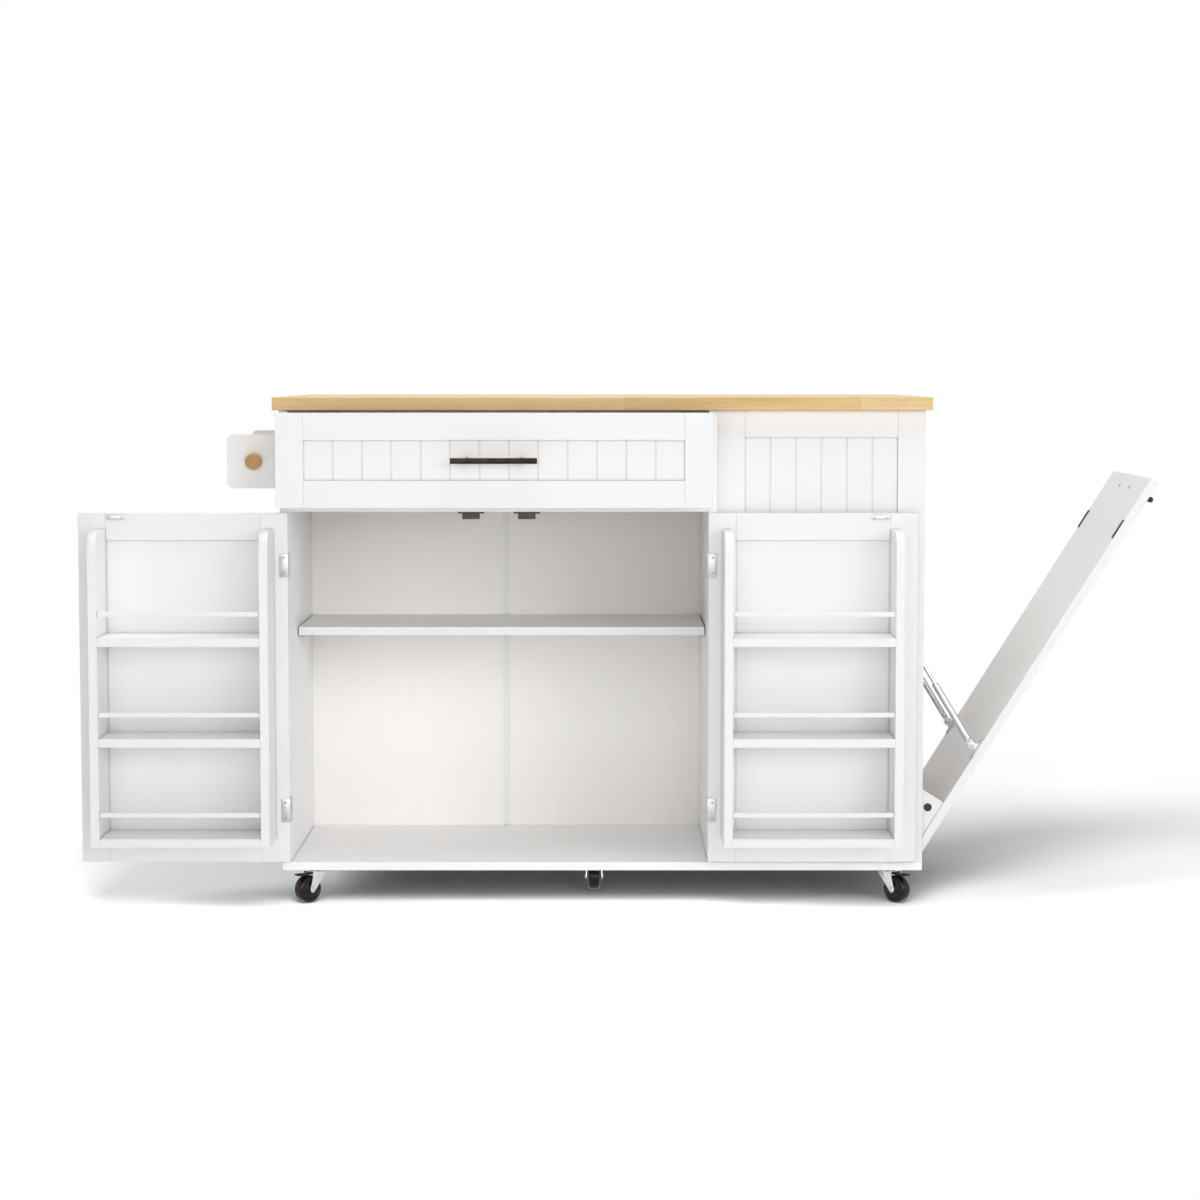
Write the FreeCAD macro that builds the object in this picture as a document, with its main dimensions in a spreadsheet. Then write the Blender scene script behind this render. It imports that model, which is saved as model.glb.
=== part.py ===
import FreeCAD
import Part
import os
import re

# Drop leaf kitchen island on casters: a cupboard with one drawer, two doors that carry spice
# racks, a tilt-out bin door on its right end, a towel bar on its left end and a wooden worktop
# with a folding rear leaf. It is modelled as it stands open: drawer pulled a little, both doors
# swung flat against the front, the bin door tilted out, the leaf up.
#
# The boards are first laid out in the cabinet's own frame: X = 0 on its centre line, Y = 0 on its
# front face with +Y to the rear, Z = 0 on the floor. Every sub-part is then shifted so that the
# origin is at the bottom centre of the whole open island.

doc = FreeCAD.newDocument("kitchen_island")

# The sizes that can be set by themselves: millimetres, degrees or a count.
sizes = {
    # Cabinet
    "overall_height": 914,              # floor to worktop
    "body_width": 1150,                 # over both ends
    "board": 15,                        # thickness of the cabinet boards
    "edge_round": 0.8,                  # eased edges of the lacquered boards
    "caster_height": 65,                # floor to the underside of the bottom panel
    "bay_width": 750,                   # clear width behind the doors
    "drawer_bay": 165.5,                # clear height of the drawer's opening
    "stretcher_depth": 80,
    "rear_rail_height": 80,
    "back_recess": 10,                  # rear face of the back panels inside the rear edge
    "back_thickness": 5,
    "back_strip_width": 12,             # strip that joins the two back panels
    "back_strip_proud": 1,
    # Worktop and leaf
    "top_thickness": 23,
    "top_side_overhang": 10,
    "top_front_overhang": 20,
    "top_rear_overhang": 44,
    "top_round": 1.5,
    "leaf_depth": 150,
    "leaf_gap": 2,
    # Framed fronts
    "stile_width": 49,
    "rail_width": 48,
    "front_recess": 4,                  # beaded panel below the frame's face
    "groove_width": 2.4,
    "groove_depth": 1.2,
    "drawer_beads": 13,
    "side_beads": 6,
    "door_beads": 6,
    # Drawer
    "drawer_pull": 60,                  # how far it stands open
    "drawer_front_gap": 2,              # closed front ahead of the carcass
    "drawer_top_gap": 3.5,
    "drawer_low_overlap": 4.8,          # front over the stretcher
    "drawer_left_overlap": 13.5,
    "drawer_right_overlap": 4,
    "drawer_length": 380,
    "drawer_side_height": 100,
    "drawer_board": 12,
    "drawer_lift": 9.5,                 # box above the stretcher
    "drawer_base_thickness": 5,
    "drawer_base_lift": 6,
    "runner_space": 13,                 # each side of the drawer box
    "runner_height": 36,
    "runner_length": 360,
    "runner_gap": 0.3,
    # Bar handles
    "handle_length": 152,
    "handle_radius": 5.25,
    "handle_reach": 25.5,               # bar's axis off the face
    "handle_pitch": 96,
    "handle_post_radius": 3.5,
    # Doors
    "door_open_angle": 180,
    "hinge_inset": 1.6,                 # pin off the bay's side
    "hinge_edge_gap": 0.4,              # door's edge past the pin
    "hinge_front": 2.8,                 # pin ahead of the closed door's face
    "hinge_pin_radius": 2.5,
    "hinge_plate": 0.8,
    "hinge_height": 42,
    "hinge_leaf_width": 15,
    "hinge_fixed_width": 20,
    "hinge_from_end": 93,               # hinge centre from the door's top and bottom
    "hinge_play": 0.3,
    "door_centre_gap": 2,
    "door_top_gap": 1.5,
    "door_low_gap": 4,
    "strike_from_edge": 67,             # strike's centre from the door's free edge
    "strike_width": 33,
    "strike_height": 8,
    "strike_thickness": 1.5,
    "strike_drop": 3.5,                 # below the door's top edge
    # Spice racks
    "rack_depth": 100,
    "rack_hinge_margin": 25,
    "rack_free_margin": 33,
    "rack_low_margin": 42,
    "rack_top_margin": 29,
    "rack_pitch": 177,
    "rack_shelves": 3,
    "rack_corner": 30,
    "rack_rail": 8,
    "rack_rail_lift": 38,               # underside of a rail above its shelf
    "rack_rail_inset": 3,
    # Half-depth shelf
    "shelf_top_height": 491.5,
    "shelf_setback": 145,
    "shelf_side_gap": 2,
    "shelf_pin_radius": 2.5,
    "shelf_pin_length": 12,
    "shelf_pin_inset": 22,
    # Magnetic catches
    "catch_offset": 50,                 # from the middle of the door bay
    "catch_plate_width": 47,
    "catch_plate_depth": 24,
    "catch_plate_thickness": 2,
    "catch_width": 31,
    "catch_depth": 15,
    "catch_height": 12,
    "catch_gap": 0.5,
    # Bin door and its tray
    "bin_open_angle": 32,
    "bin_door_width": 380,              # with the rear post it sets the cabinet's depth
    "rear_post_width": 37,
    "bin_side_gap": 2,
    "bin_top_gap": 5,
    "bin_low_gap": 4.2,
    "bin_pivot_lift": 10,               # pivot above the door's bottom edge
    "bin_pin_radius": 4,
    "bin_pin_depth": 9,
    "bin_pin_play": 0.08,
    "bin_handle_drop": 26,
    "bin_strike_drop": 107.8,           # strike's centre below the door's top
    "bin_strike_length": 38,
    "bin_strike_width": 13,
    "bin_strike_inset": 2,
    "bin_catch_width": 20,
    "tray_depth": 290,
    "tray_height": 112,                 # above the door's bottom edge
    "tray_side_gap": 2,
    "tray_floor": 12,
    "cam_radius": 7.2,
    "cam_proud": 1,
    "cam_drop": 22,
    "cam_inset": 20,
    # Gas struts of the bin door
    "strut_pivot_rise": 216.4,          # pin above the door's pivot
    "strut_pivot_inset": 11.6,          # pin off the door's inner face
    "strut_lean": 31.1,                 # from vertical, as it stands open
    "strut_open_length": 250,
    "strut_from_edge": 15,              # strut's middle plane from the door's edge
    "strut_tube_radius": 6,
    "strut_tube_length": 121,
    "strut_rod_radius": 3,
    "strut_rod_engaged": 10,            # rod still inside the tube
    "strut_eye_radius": 8,
    "strut_eye_width": 7,
    "strut_tang": 2,                    # flat tang between eye and tube
    "strut_pin_radius": 3,
    "strut_play": 0.08,
    "strut_end_gap": 0.3,
    "strut_plate_length": 42,
    "strut_plate_width": 14,
    "strut_plate_thickness": 2,
    "strut_plate_inset": 1,             # from the door's edge
    "stile_board_width": 80,            # board behind the rear post
    # Towel bar
    "towel_board_size": 96.5,
    "towel_corner": 12,
    "towel_drop": 43.5,                 # boards below the worktop
    "towel_end_inset": 29,
    "dowel_radius": 14,
    "dowel_proud": 20,
    # Rear leaf hinges and stays
    "leaf_knuckle_radius": 2,
    "leaf_flap_thickness": 1.5,
    "leaf_flap_reach": 36,
    "leaf_hinge_length": 50,
    "leaf_hinge_spacing": 400,
    "stay_reach": 90,                   # pin on the leaf, from the hinge line
    "stay_drop": 12,                    # pin below the hinge line
    "stay_length": 200,
    "stay_line": 11,                    # lower pin behind the cabinet's rear edge
    "stay_half_width": 6,
    "stay_thickness": 2.5,
    "stay_pin_radius": 2,
    "stay_gap": 0.3,
    "ear_foot_reach": 10,
    "track_inset": 1,                   # tracks and ears inside the cabinet's ends
    "track_thickness": 2,
    "track_reach": 17,
    "track_margin": 14,                 # track beyond the stay's travel, at each end
    # Casters
    "wheel_radius": 25,
    "wheel_width": 22,
    "wheel_round": 6,
    "wheel_bore_play": 0.08,
    "hub_radius": 10,
    "hub_proud": 1.5,
    "axle_radius": 2.5,
    "axle_proud": 2,
    "trail": 18,
    "fork_inner": 26,
    "fork_plate": 2,
    "fork_foot": 5.5,
    "fork_front": 12,
    "fork_rear": 16,
    "race_radius": 16,
    "race_height": 4.7,
    "race_gap": 0.3,
    "caster_plate": 40,
    "caster_plate_thickness": 2,
    "caster_inset_side": 54,
    "caster_inset_end": 50,
    "middle_caster_left": 15,
    "middle_caster_back": 190,
    "lever_length": 40,
    "lever_width": 18,
    "lever_thickness": 2,
    "lever_pivot": 7,
    "lever_drop": 12.3,
    "lever_pin_radius": 1.5,
    "lever_pin_play": 0.08,
}
dims = doc.addObject("Spreadsheet::Sheet", "dims")
for row, (alias, number) in enumerate(sizes.items(), 1):
    dims.set(f"A{row}", alias)
    dims.set(f"B{row}", str(number))
    dims.setAlias(f"B{row}", alias)
doc.recompute()


def formula(text):
    """Turn a formula in plain size names into one that reads the sheet."""
    return re.sub(r"[a-z_]+", lambda word: f"dims.{word[0]}" if word[0] in sizes else word[0], text)


def bind(item, **formulas):
    """Tie an object's properties to the sheet."""
    for name, text in formulas.items():
        item.setExpression(name, formula(text))
    return item


def place(item, x, y, z):
    """Tie an object's position to the sheet."""
    for axis, text in (("x", x), ("y", y), ("z", z)):
        item.setExpression(f"Placement.Base.{axis}", formula(text))
    return item


def block(name, x, y, z, length, width, height):
    """A plain box: its low corner, then its size along X, Y and Z."""
    item = doc.addObject("Part::Box", name)
    bind(item, Length=length, Width=width, Height=height)
    return place(item, x, y, z)


def board(name, x, y, z, length, width, height, easing="edge_round"):
    """A board with eased edges: its low corner, then its size along X, Y and Z."""
    body = doc.addObject("PartDesign::Body", name)
    blank = body.newObject("PartDesign::AdditiveBox", name + "_blank")
    bind(blank, Length=length, Width=width, Height=height)
    doc.recompute([blank])
    eased = body.newObject("PartDesign::Fillet", name + "_eased")
    eased.Base = (blank, [""])
    eased.UseAllEdges = True
    bind(eased, Radius=easing)
    return place(body, x, y, z)


def rounded(name, x, y, z, length, width, height, picks, radius):
    """A board with some square corners cut to a radius; picks(middle, extent) names the edges."""
    body = doc.addObject("PartDesign::Body", name)
    blank = body.newObject("PartDesign::AdditiveBox", name + "_blank")
    bind(blank, Length=length, Width=width, Height=height)
    doc.recompute([blank])
    extent = blank.Shape.BoundBox
    edges = []
    for number, edge in enumerate(blank.Shape.Edges, 1):
        if picks(edge.CenterOfMass, extent):
            edges.append(f"Edge{number}")
    corner = body.newObject("PartDesign::Fillet", name + "_corner")
    corner.Base = (blank, edges)
    bind(corner, Radius=radius)
    return place(body, x, y, z)


TURNS = {
    "X": FreeCAD.Rotation(FreeCAD.Vector(0, 1, 0), 90),
    "Y": FreeCAD.Rotation(FreeCAD.Vector(1, 0, 0), -90),
    "Z": FreeCAD.Rotation(),
}


def rod(name, axis, x, y, z, radius, length):
    """A cylinder that starts at a point and runs along +X, +Y or +Z."""
    item = doc.addObject("Part::Cylinder", name)
    item.Placement = FreeCAD.Placement(FreeCAD.Vector(), TURNS[axis])
    bind(item, Radius=radius, Height=length)
    return place(item, x, y, z)


def cut(name, base, *tools):
    """One piece with other shapes cut out of it."""
    item = doc.addObject("Part::Cut", name)
    item.Base = base
    if len(tools) == 1:
        item.Tool = tools[0]
        return item
    item.Tool = doc.addObject("Part::Compound", name + "_cutters")
    item.Tool.Links = list(tools)
    return item


def fuse(name, *pieces):
    """One piece made of several shapes."""
    item = doc.addObject("Part::MultiFuse", name)
    item.Shapes = list(pieces)
    return item


# Places that many sub-parts share
left_face = "(-body_width / 2)"
left_inner = f"({left_face} + board)"
partition_left = f"({left_inner} + bay_width)"
partition_right = f"({partition_left} + board)"
right_face = "(body_width / 2)"
right_inner = f"({right_face} - board)"
bay_middle = f"({left_inner} + bay_width / 2)"
floor_top = "(caster_height + board)"
body_top = "(overall_height - top_thickness)"
body_height = f"({body_top} - {floor_top})"
stretcher_top = f"({body_top} - drawer_bay)"
stretcher_under = f"({stretcher_top} - board)"
door_width = "((bay_width - 2 * (hinge_inset + hinge_edge_gap) - door_centre_gap) / 2)"
door_low = f"({floor_top} + door_low_gap)"
door_height = f"({stretcher_under} - door_top_gap - {door_low})"
bin_pivot_x = "(body_width / 2 - board / 2)"
bin_pivot_z = f"({floor_top} + bin_low_gap + bin_pivot_lift)"
bin_near = "(board + bin_side_gap)"
bin_far = f"({bin_near} + bin_door_width)"
bin_middle = f"({bin_near} + bin_door_width / 2)"
post_y = f"({bin_far} + bin_side_gap)"
body_depth = f"({post_y} + rear_post_width)"
back_face = f"({body_depth} - back_recess - back_thickness)"
leaf_line = f"({body_depth} + top_rear_overhang + leaf_gap / 2)"
bin_rise = f"({body_top} - bin_top_gap - {bin_pivot_z})"

# How far the open island reaches, for the shift to the origin
reach_left = f"({left_inner} + hinge_inset - hinge_edge_gap - {door_width})"
reach_right = (f"({bin_pivot_x} + (board / 2 + handle_reach) * cos(bin_open_angle)"
               f" + ({bin_rise} - bin_handle_drop) * sin(bin_open_angle) + handle_radius)")
rack_front = "(2 * hinge_front + board + rack_depth)"
handle_front = "(drawer_front_gap + board + drawer_pull + handle_reach + handle_radius)"
reach_front = f"max({rack_front}; {handle_front})"
reach_rear = f"({body_depth} + top_rear_overhang + leaf_gap + leaf_depth)"
shift_x = f"(-({reach_left} + {reach_right}) / 2)"
shift_y = f"(({reach_front} - {reach_rear}) / 2)"

subparts = []


def subpart(label, *pieces, x="0", y="0", z="0", axis=(0, 0, 1), angle=None):
    """Gather the separate solids of one sub-part, turn them and put them in the island's frame."""
    item = doc.addObject("Part::Compound", label)
    item.Label = label
    item.Links = list(pieces)
    item.Placement = FreeCAD.Placement(FreeCAD.Vector(), FreeCAD.Rotation(FreeCAD.Vector(*axis), 1))
    item.setExpression("Placement.Rotation.Angle", formula(angle or "0"))
    place(item, f"{shift_x} + {x}", f"{shift_y} + {y}", z)
    subparts.append(item)
    return item


# Worktop: two slabs of glued solid wood, the rear one hinged as a leaf.
top_x = "(-body_width / 2 - top_side_overhang)"
top_length = "body_width + 2 * top_side_overhang"
main_slab = board("worktop_slab", top_x, "-top_front_overhang", body_top, top_length,
                  f"top_front_overhang + {body_depth} + top_rear_overhang", "top_thickness", "top_round")
subpart("worktop", main_slab)
leaf_slab = board("leaf_slab", top_x, f"{leaf_line} + leaf_gap / 2", body_top, top_length,
                  "leaf_depth", "top_thickness", "top_round")
subpart("drop_leaf", leaf_slab)

# Carcass: left end, partition, bottom, drawer stretcher, rear rail, right rear post.
left_panel = board("left_panel", left_face, "0", floor_top, "board", body_depth, body_height)
subpart("side_panel_left", left_panel)
middle_panel = board("middle_panel", partition_left, "0", floor_top, "board", back_face, body_height)
subpart("partition_panel", middle_panel)
base_board = board("base_board", left_face, "0", "caster_height", "body_width", body_depth, "board")
subpart("bottom_panel", base_board)
stretcher_board = board("stretcher_board", left_inner, "0", stretcher_under, "bay_width",
                        "stretcher_depth", "board")
subpart("drawer_stretcher", stretcher_board)
rail_board = board("rail_board", left_inner, f"{body_depth} - board", f"{body_top} - rear_rail_height",
                   "body_width - 2 * board", "board", "rear_rail_height")
subpart("rear_top_rail", rail_board)
post_blank = block("post_blank", right_inner, post_y, floor_top, "board", "rear_post_width",
                   body_height)
far_bore = rod("far_bore", "Y", bin_pivot_x, f"{post_y} - 1", bin_pivot_z,
               "bin_pin_radius + bin_pin_play", "bin_pin_depth + 2")
post_board = cut("post_board", post_blank, far_bore)
inner_stile = block("inner_stile", f"{right_inner} - stile_board_width", f"{back_face} - board",
                    floor_top, "stile_board_width", "board", f"{body_height} - rear_rail_height")
subpart("right_rear_post", post_board, inner_stile)

# Back: two thin panels under the rear rail, joined by a plastic strip with a lip on both faces.
back_height = f"({body_height} - rear_rail_height)"
web = "(2 * back_strip_proud)"
back_left = block("back_left", left_inner, back_face, floor_top,
                  f"bay_width / 2 - {web} / 2", "back_thickness", back_height)
back_right = block("back_right", f"{bay_middle} + {web} / 2", back_face, floor_top,
                   f"{right_inner} - {bay_middle} - {web} / 2", "back_thickness", back_height)
subpart("back_panels", back_left, back_right)
lip_x = f"{bay_middle} - back_strip_width / 2"
strip_front = block("strip_front", lip_x, f"{back_face} - back_strip_proud", floor_top,
                    "back_strip_width", "back_strip_proud", back_height)
strip_rear = block("strip_rear", lip_x, f"{back_face} + back_thickness", floor_top,
                   "back_strip_width", "back_strip_proud", back_height)
strip_web = block("strip_web", f"{bay_middle} - {web} / 2", f"{back_face} - back_strip_proud",
                  floor_top, web, "back_thickness + 2 * back_strip_proud", back_height)
subpart("back_joint_strip", fuse("strip", strip_front, strip_rear, strip_web))


def frame(name, x, y, z, length, height, easing="edge_round"):
    """Two stiles with two rails between them, all one board thick, seen from the front."""
    stiles = []
    for side, at in (("left", x), ("right", f"{x} + {length} - stile_width")):
        stiles.append(board(f"{name}_{side}_stile", at, y, z, "stile_width", "board", height, easing))
    rails = []
    for end, at in (("low", z), ("top", f"{z} + {height} - rail_width")):
        rails.append(board(f"{name}_{end}_rail", f"{x} + stile_width", y, at,
                           f"{length} - 2 * stile_width", "board", "rail_width", easing))
    return stiles + rails


def beaded(name, x, y, z, length, thickness, height, beads):
    """A panel with upright grooves in its front (low Y) face, which make it look like boards."""
    panel = block(name + "_blank", x, y, z, length, thickness, height)
    grooves = []
    for number in range(1, round(sizes[beads])):
        grooves.append(block(f"{name}_groove_{number}",
                             f"{x} + {number} * ({length}) / {beads} - groove_width / 2",
                             f"{y} - groove_depth", f"{z} - 1", "groove_width", "2 * groove_depth",
                             f"{height} + 2"))
    return cut(name, panel, *grooves)


# Fixed front of the bin bay: a full-height frame with a beaded panel; its right stile holds the
# near pivot of the bin door.
side_front_width = f"({right_face} - {partition_right})"
side_frame = frame("side_front", partition_right, "0", floor_top, side_front_width, body_height)
near_bore = rod("near_bore", "Y", bin_pivot_x, "board - bin_pin_depth - 1", bin_pivot_z,
                "bin_pin_radius + bin_pin_play", "bin_pin_depth + 2")
side_frame[1] = cut("side_front_bored_stile", side_frame[1], near_bore)
subpart("right_front_frame", *side_frame)
side_panel = beaded("side_beadboard", f"{partition_right} + stile_width", "front_recess",
                    f"{floor_top} + rail_width", f"({side_front_width} - 2 * stile_width)",
                    "board - front_recess", f"{body_height} - 2 * rail_width", "side_beads")
subpart("right_front_beadboard", side_panel)

# Half-depth shelf on four pegs.
shelf_y = "shelf_setback"
shelf_depth = f"({back_face} - back_strip_proud - shelf_setback)"
shelf_board = board("shelf_board", f"{left_inner} + shelf_side_gap", shelf_y,
                    "shelf_top_height - board", "bay_width - 2 * shelf_side_gap", shelf_depth, "board")
subpart("shelf", shelf_board)
peg_z = "shelf_top_height - board - shelf_pin_radius"
pegs = []
for side, peg_x in (("left", left_inner), ("right", f"{partition_left} - shelf_pin_length")):
    for row, peg_y in (("front", f"{shelf_y} + shelf_pin_inset"),
                       ("rear", f"{back_face} - shelf_pin_inset")):
        pegs.append(rod(f"peg_{side}_{row}", "X", peg_x, peg_y, peg_z, "shelf_pin_radius",
                        "shelf_pin_length"))
subpart("shelf_pegs", *pegs)

# Drawer: a framed beaded front over a plain box on side runners.
front_y = "(-drawer_front_gap - board - drawer_pull)"
front_x = f"({left_inner} - drawer_left_overlap)"
front_width = "(bay_width + drawer_left_overlap + drawer_right_overlap)"
front_z = f"({stretcher_top} - drawer_low_overlap)"
front_height = "(drawer_bay - drawer_top_gap + drawer_low_overlap)"
box_y = "(-drawer_front_gap - drawer_pull)"
box_x = f"({left_inner} + runner_space)"
box_width = "(bay_width - 2 * runner_space)"
box_z = f"({stretcher_top} + drawer_lift)"
subpart("drawer_front_frame", *frame("drawer_front", front_x, front_y, front_z, front_width,
                                     front_height))
drawer_panel = beaded("drawer_beads_panel", f"{front_x} + stile_width", f"{front_y} + front_recess",
                      f"{front_z} + rail_width", f"({front_width} - 2 * stile_width)",
                      "board - front_recess", f"{front_height} - 2 * rail_width", "drawer_beads")
subpart("drawer_front_beadboard", drawer_panel)
box_left = board("box_left", box_x, box_y, box_z, "drawer_board", "drawer_length",
                 "drawer_side_height")
box_right = board("box_right", f"{box_x} + {box_width} - drawer_board", box_y, box_z, "drawer_board",
                  "drawer_length", "drawer_side_height")
box_back = board("box_back", f"{box_x} + drawer_board", f"{box_y} + drawer_length - drawer_board",
                 box_z, f"{box_width} - 2 * drawer_board", "drawer_board", "drawer_side_height")
subpart("drawer_box", box_left, box_right, box_back)
box_base = block("box_base", f"{box_x} + drawer_board", box_y, f"{box_z} + drawer_base_lift",
                 f"{box_width} - 2 * drawer_board", "drawer_length - drawer_board",
                 "drawer_base_thickness")
subpart("drawer_bottom", box_base)


def handle(name, x, y, z, along):
    """A round bar on two posts, centred on a point of the face; the face looks to -Y or +X."""
    if along == "X":
        bar = rod(name + "_bar", "X", f"{x} - handle_length / 2", f"{y} - handle_reach", z,
                  "handle_radius", "handle_length")
        post = ("Y", "x", f"{y} - handle_reach", y)
    else:
        bar = rod(name + "_bar", "Y", f"{x} + handle_reach", f"{y} - handle_length / 2", z,
                  "handle_radius", "handle_length")
        post = ("X", "y", x, x)
    posts = []
    for side, sign in (("first", "-"), ("second", "+")):
        shift = f"{sign} handle_pitch / 2"
        if along == "X":
            at = (f"{x} {shift}", post[2], z)
        else:
            at = (x, f"{y} {shift}", z)
        posts.append(rod(f"{name}_{side}_post", post[0], *at, "handle_post_radius", "handle_reach"))
    return fuse(name, bar, *posts)


drawer_bar = handle("drawer_bar", f"({front_x} + {front_width} / 2)", front_y,
                    f"({front_z} + {front_height} / 2)", "X")
# The middle beads lie below the frame's face, so the posts reach down to them.
drawer_post_seats = []
for side, sign in (("left", "-"), ("right", "+")):
    drawer_post_seats.append(rod(f"drawer_post_{side}_foot", "Y",
                                 f"{front_x} + {front_width} / 2 {sign} handle_pitch / 2", front_y,
                                 f"{front_z} + {front_height} / 2", "handle_post_radius",
                                 "front_recess"))
subpart("drawer_handle", fuse("drawer_handle_whole", drawer_bar, *drawer_post_seats))

# Drawer runners: a fixed rail on each side of the bay and a slide on each side of the box.
runner_z = f"({box_z} + (drawer_side_height - runner_height) / 2)"
half_runner = "((runner_space - runner_gap) / 2)"
rail_left = block("rail_left", left_inner, "board / 2", runner_z, half_runner, "runner_length",
                  "runner_height")
rail_right = block("rail_right", f"{partition_left} - {half_runner}", "board / 2", runner_z,
                   half_runner, "runner_length", "runner_height")
subpart("drawer_runner_rails", rail_left, rail_right)
slide_left = block("slide_left", f"{box_x} - {half_runner}", f"{box_y} + board / 2", runner_z,
                   half_runner, "runner_length", "runner_height")
slide_right = block("slide_right", f"{box_x} + {box_width}", f"{box_y} + board / 2", runner_z,
                    half_runner, "runner_length", "runner_height")
subpart("drawer_runner_slides", slide_left, slide_right)


def mirrored(way, x, length):
    """Low X of a span that starts x away from a door's pin, for a door that runs to +X or -X."""
    return x if way > 0 else f"-({x}) - ({length})"


def swing(label, way, *pieces):
    """Hang a door's sub-part on its pin and swing it open; pieces are laid out closed."""
    pin_x = f"{left_inner} + hinge_inset" if way > 0 else f"{partition_left} - hinge_inset"
    subpart(label, *pieces, x=pin_x, y="-hinge_front", axis=(0, 0, -way), angle="door_open_angle")


def door(side, way):
    """One door with its rack and fittings, laid out closed from its pin: X away, +Y inwards."""
    edge = "hinge_edge_gap"
    inner = "(hinge_front + board)"
    low_x = mirrored(way, edge, door_width)
    swing(f"door_{side}_frame", way, *frame(f"door_{side}", low_x, "hinge_front", door_low,
                                            door_width, door_height))
    panel = beaded(f"door_{side}_beads", f"{low_x} + stile_width", "hinge_front + front_recess",
                   f"{door_low} + rail_width", f"({door_width} - 2 * stile_width)",
                   "board - 2 * front_recess", f"{door_height} - 2 * rail_width", "door_beads")
    swing(f"door_{side}_beadboard", way, panel)
    # Rack: two sides with one rounded corner, three shelves and a rail above each shelf.
    rack_low = f"({door_low} + rack_low_margin)"
    rack_height = f"({door_height} - rack_low_margin - rack_top_margin)"
    near = f"({edge} + rack_hinge_margin)"
    far = f"({edge} + {door_width} - rack_free_margin - board)"
    boards = []
    for place_name, at in (("near", near), ("far", far)):
        boards.append(rounded(f"rack_{side}_{place_name}_side", mirrored(way, at, "board"), inner,
                              rack_low, "board", "rack_depth", rack_height,
                              lambda mid, box: mid.y > box.YMax - 0.01 and mid.z > box.ZMax - 0.01,
                              "rack_corner"))
    span = f"({far} - {near} - board)"
    span_x = mirrored(way, f"{near} + board", span)
    rails = []
    for row in range(sizes["rack_shelves"]):
        shelf_z = f"{rack_low} + {row} * rack_pitch"
        boards.append(board(f"rack_{side}_shelf_{row}", span_x, inner, shelf_z, span, "rack_depth",
                            "board"))
        rails.append(board(f"rack_{side}_rail_{row}", span_x,
                           f"{inner} + rack_depth - rack_rail_inset - rack_rail",
                           f"{shelf_z} + board + rack_rail_lift", span, "rack_rail", "rack_rail"))
    swing(f"rack_{side}", way, *boards, *rails)
    # Fittings: the wrapped hinge leaves and the strike for the magnetic catch.
    fittings = []
    for end, middle in (("low", f"{door_low} + hinge_from_end"),
                        ("top", f"{door_low} + {door_height} - hinge_from_end")):
        fittings.append(door_leaf(f"hinge_{side}_{end}", way, f"({middle} - hinge_height / 2)"))
    strike_x = f"{edge} + {door_width} - strike_from_edge - strike_width / 2"
    fittings.append(block(f"strike_{side}", mirrored(way, strike_x, "strike_width"), inner,
                          f"{door_low} + {door_height} - strike_drop - strike_height", "strike_width",
                          "strike_thickness", "strike_height"))
    swing(f"door_{side}_fittings", way, *fittings)


def door_leaf(name, way, z):
    """Hinge leaf that wraps the door's edge and lies on its inner face; middle third of knuckle."""
    third = "(hinge_height / 3)"
    edge_x = mirrored(way, "hinge_edge_gap - hinge_plate", "hinge_plate")
    edge_plate = block(name + "_edge", edge_x, "hinge_front", z, "hinge_plate",
                       "board + hinge_plate", "hinge_height")
    face_x = mirrored(way, "hinge_edge_gap - hinge_plate", "hinge_plate + hinge_leaf_width")
    face_plate = block(name + "_face", face_x, "hinge_front + board", z,
                       "hinge_plate + hinge_leaf_width", "hinge_plate", "hinge_height")
    web_plate = block(name + "_web", edge_x, "0", f"{z} + {third} + hinge_play", "hinge_plate",
                      "hinge_front", f"{third} - 2 * hinge_play")
    knuckle = rod(name + "_knuckle", "Z", "0", "0", f"{z} + {third} + hinge_play",
                  "hinge_pin_radius", f"{third} - 2 * hinge_play")
    return fuse(name, edge_plate, face_plate, web_plate, knuckle)


door("left", 1)
door("right", -1)

# Fixed hinge leaves on the bay's sides, each with the outer thirds of the knuckle.
fixed_leaves = []
for side, way in (("left", 1), ("right", -1)):
    pin_x = f"({left_inner} + hinge_inset)" if way > 0 else f"({partition_left} - hinge_inset)"
    plate_x = left_inner if way > 0 else f"{partition_left} - hinge_plate"
    for end, middle in (("low", f"{door_low} + hinge_from_end"),
                        ("top", f"{door_low} + {door_height} - hinge_from_end")):
        tag = f"fixed_leaf_{side}_{end}"
        base_z = f"({middle} - hinge_height / 2)"
        pieces = [block(tag + "_plate", plate_x, "0", base_z, "hinge_plate",
                        "hinge_fixed_width", "hinge_height")]
        for third in (0, 2):
            knuckle_z = f"{base_z} + {third} * hinge_height / 3"
            pieces.append(rod(f"{tag}_knuckle_{third}", "Z", pin_x, "-hinge_front", knuckle_z,
                              "hinge_pin_radius", "hinge_height / 3"))
            pieces.append(block(f"{tag}_web_{third}", plate_x, "-hinge_front", knuckle_z,
                                "hinge_plate", "hinge_front", "hinge_height / 3"))
        fixed_leaves.append(fuse(tag, *pieces))
subpart("cabinet_hinge_leaves", *fixed_leaves)

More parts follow.
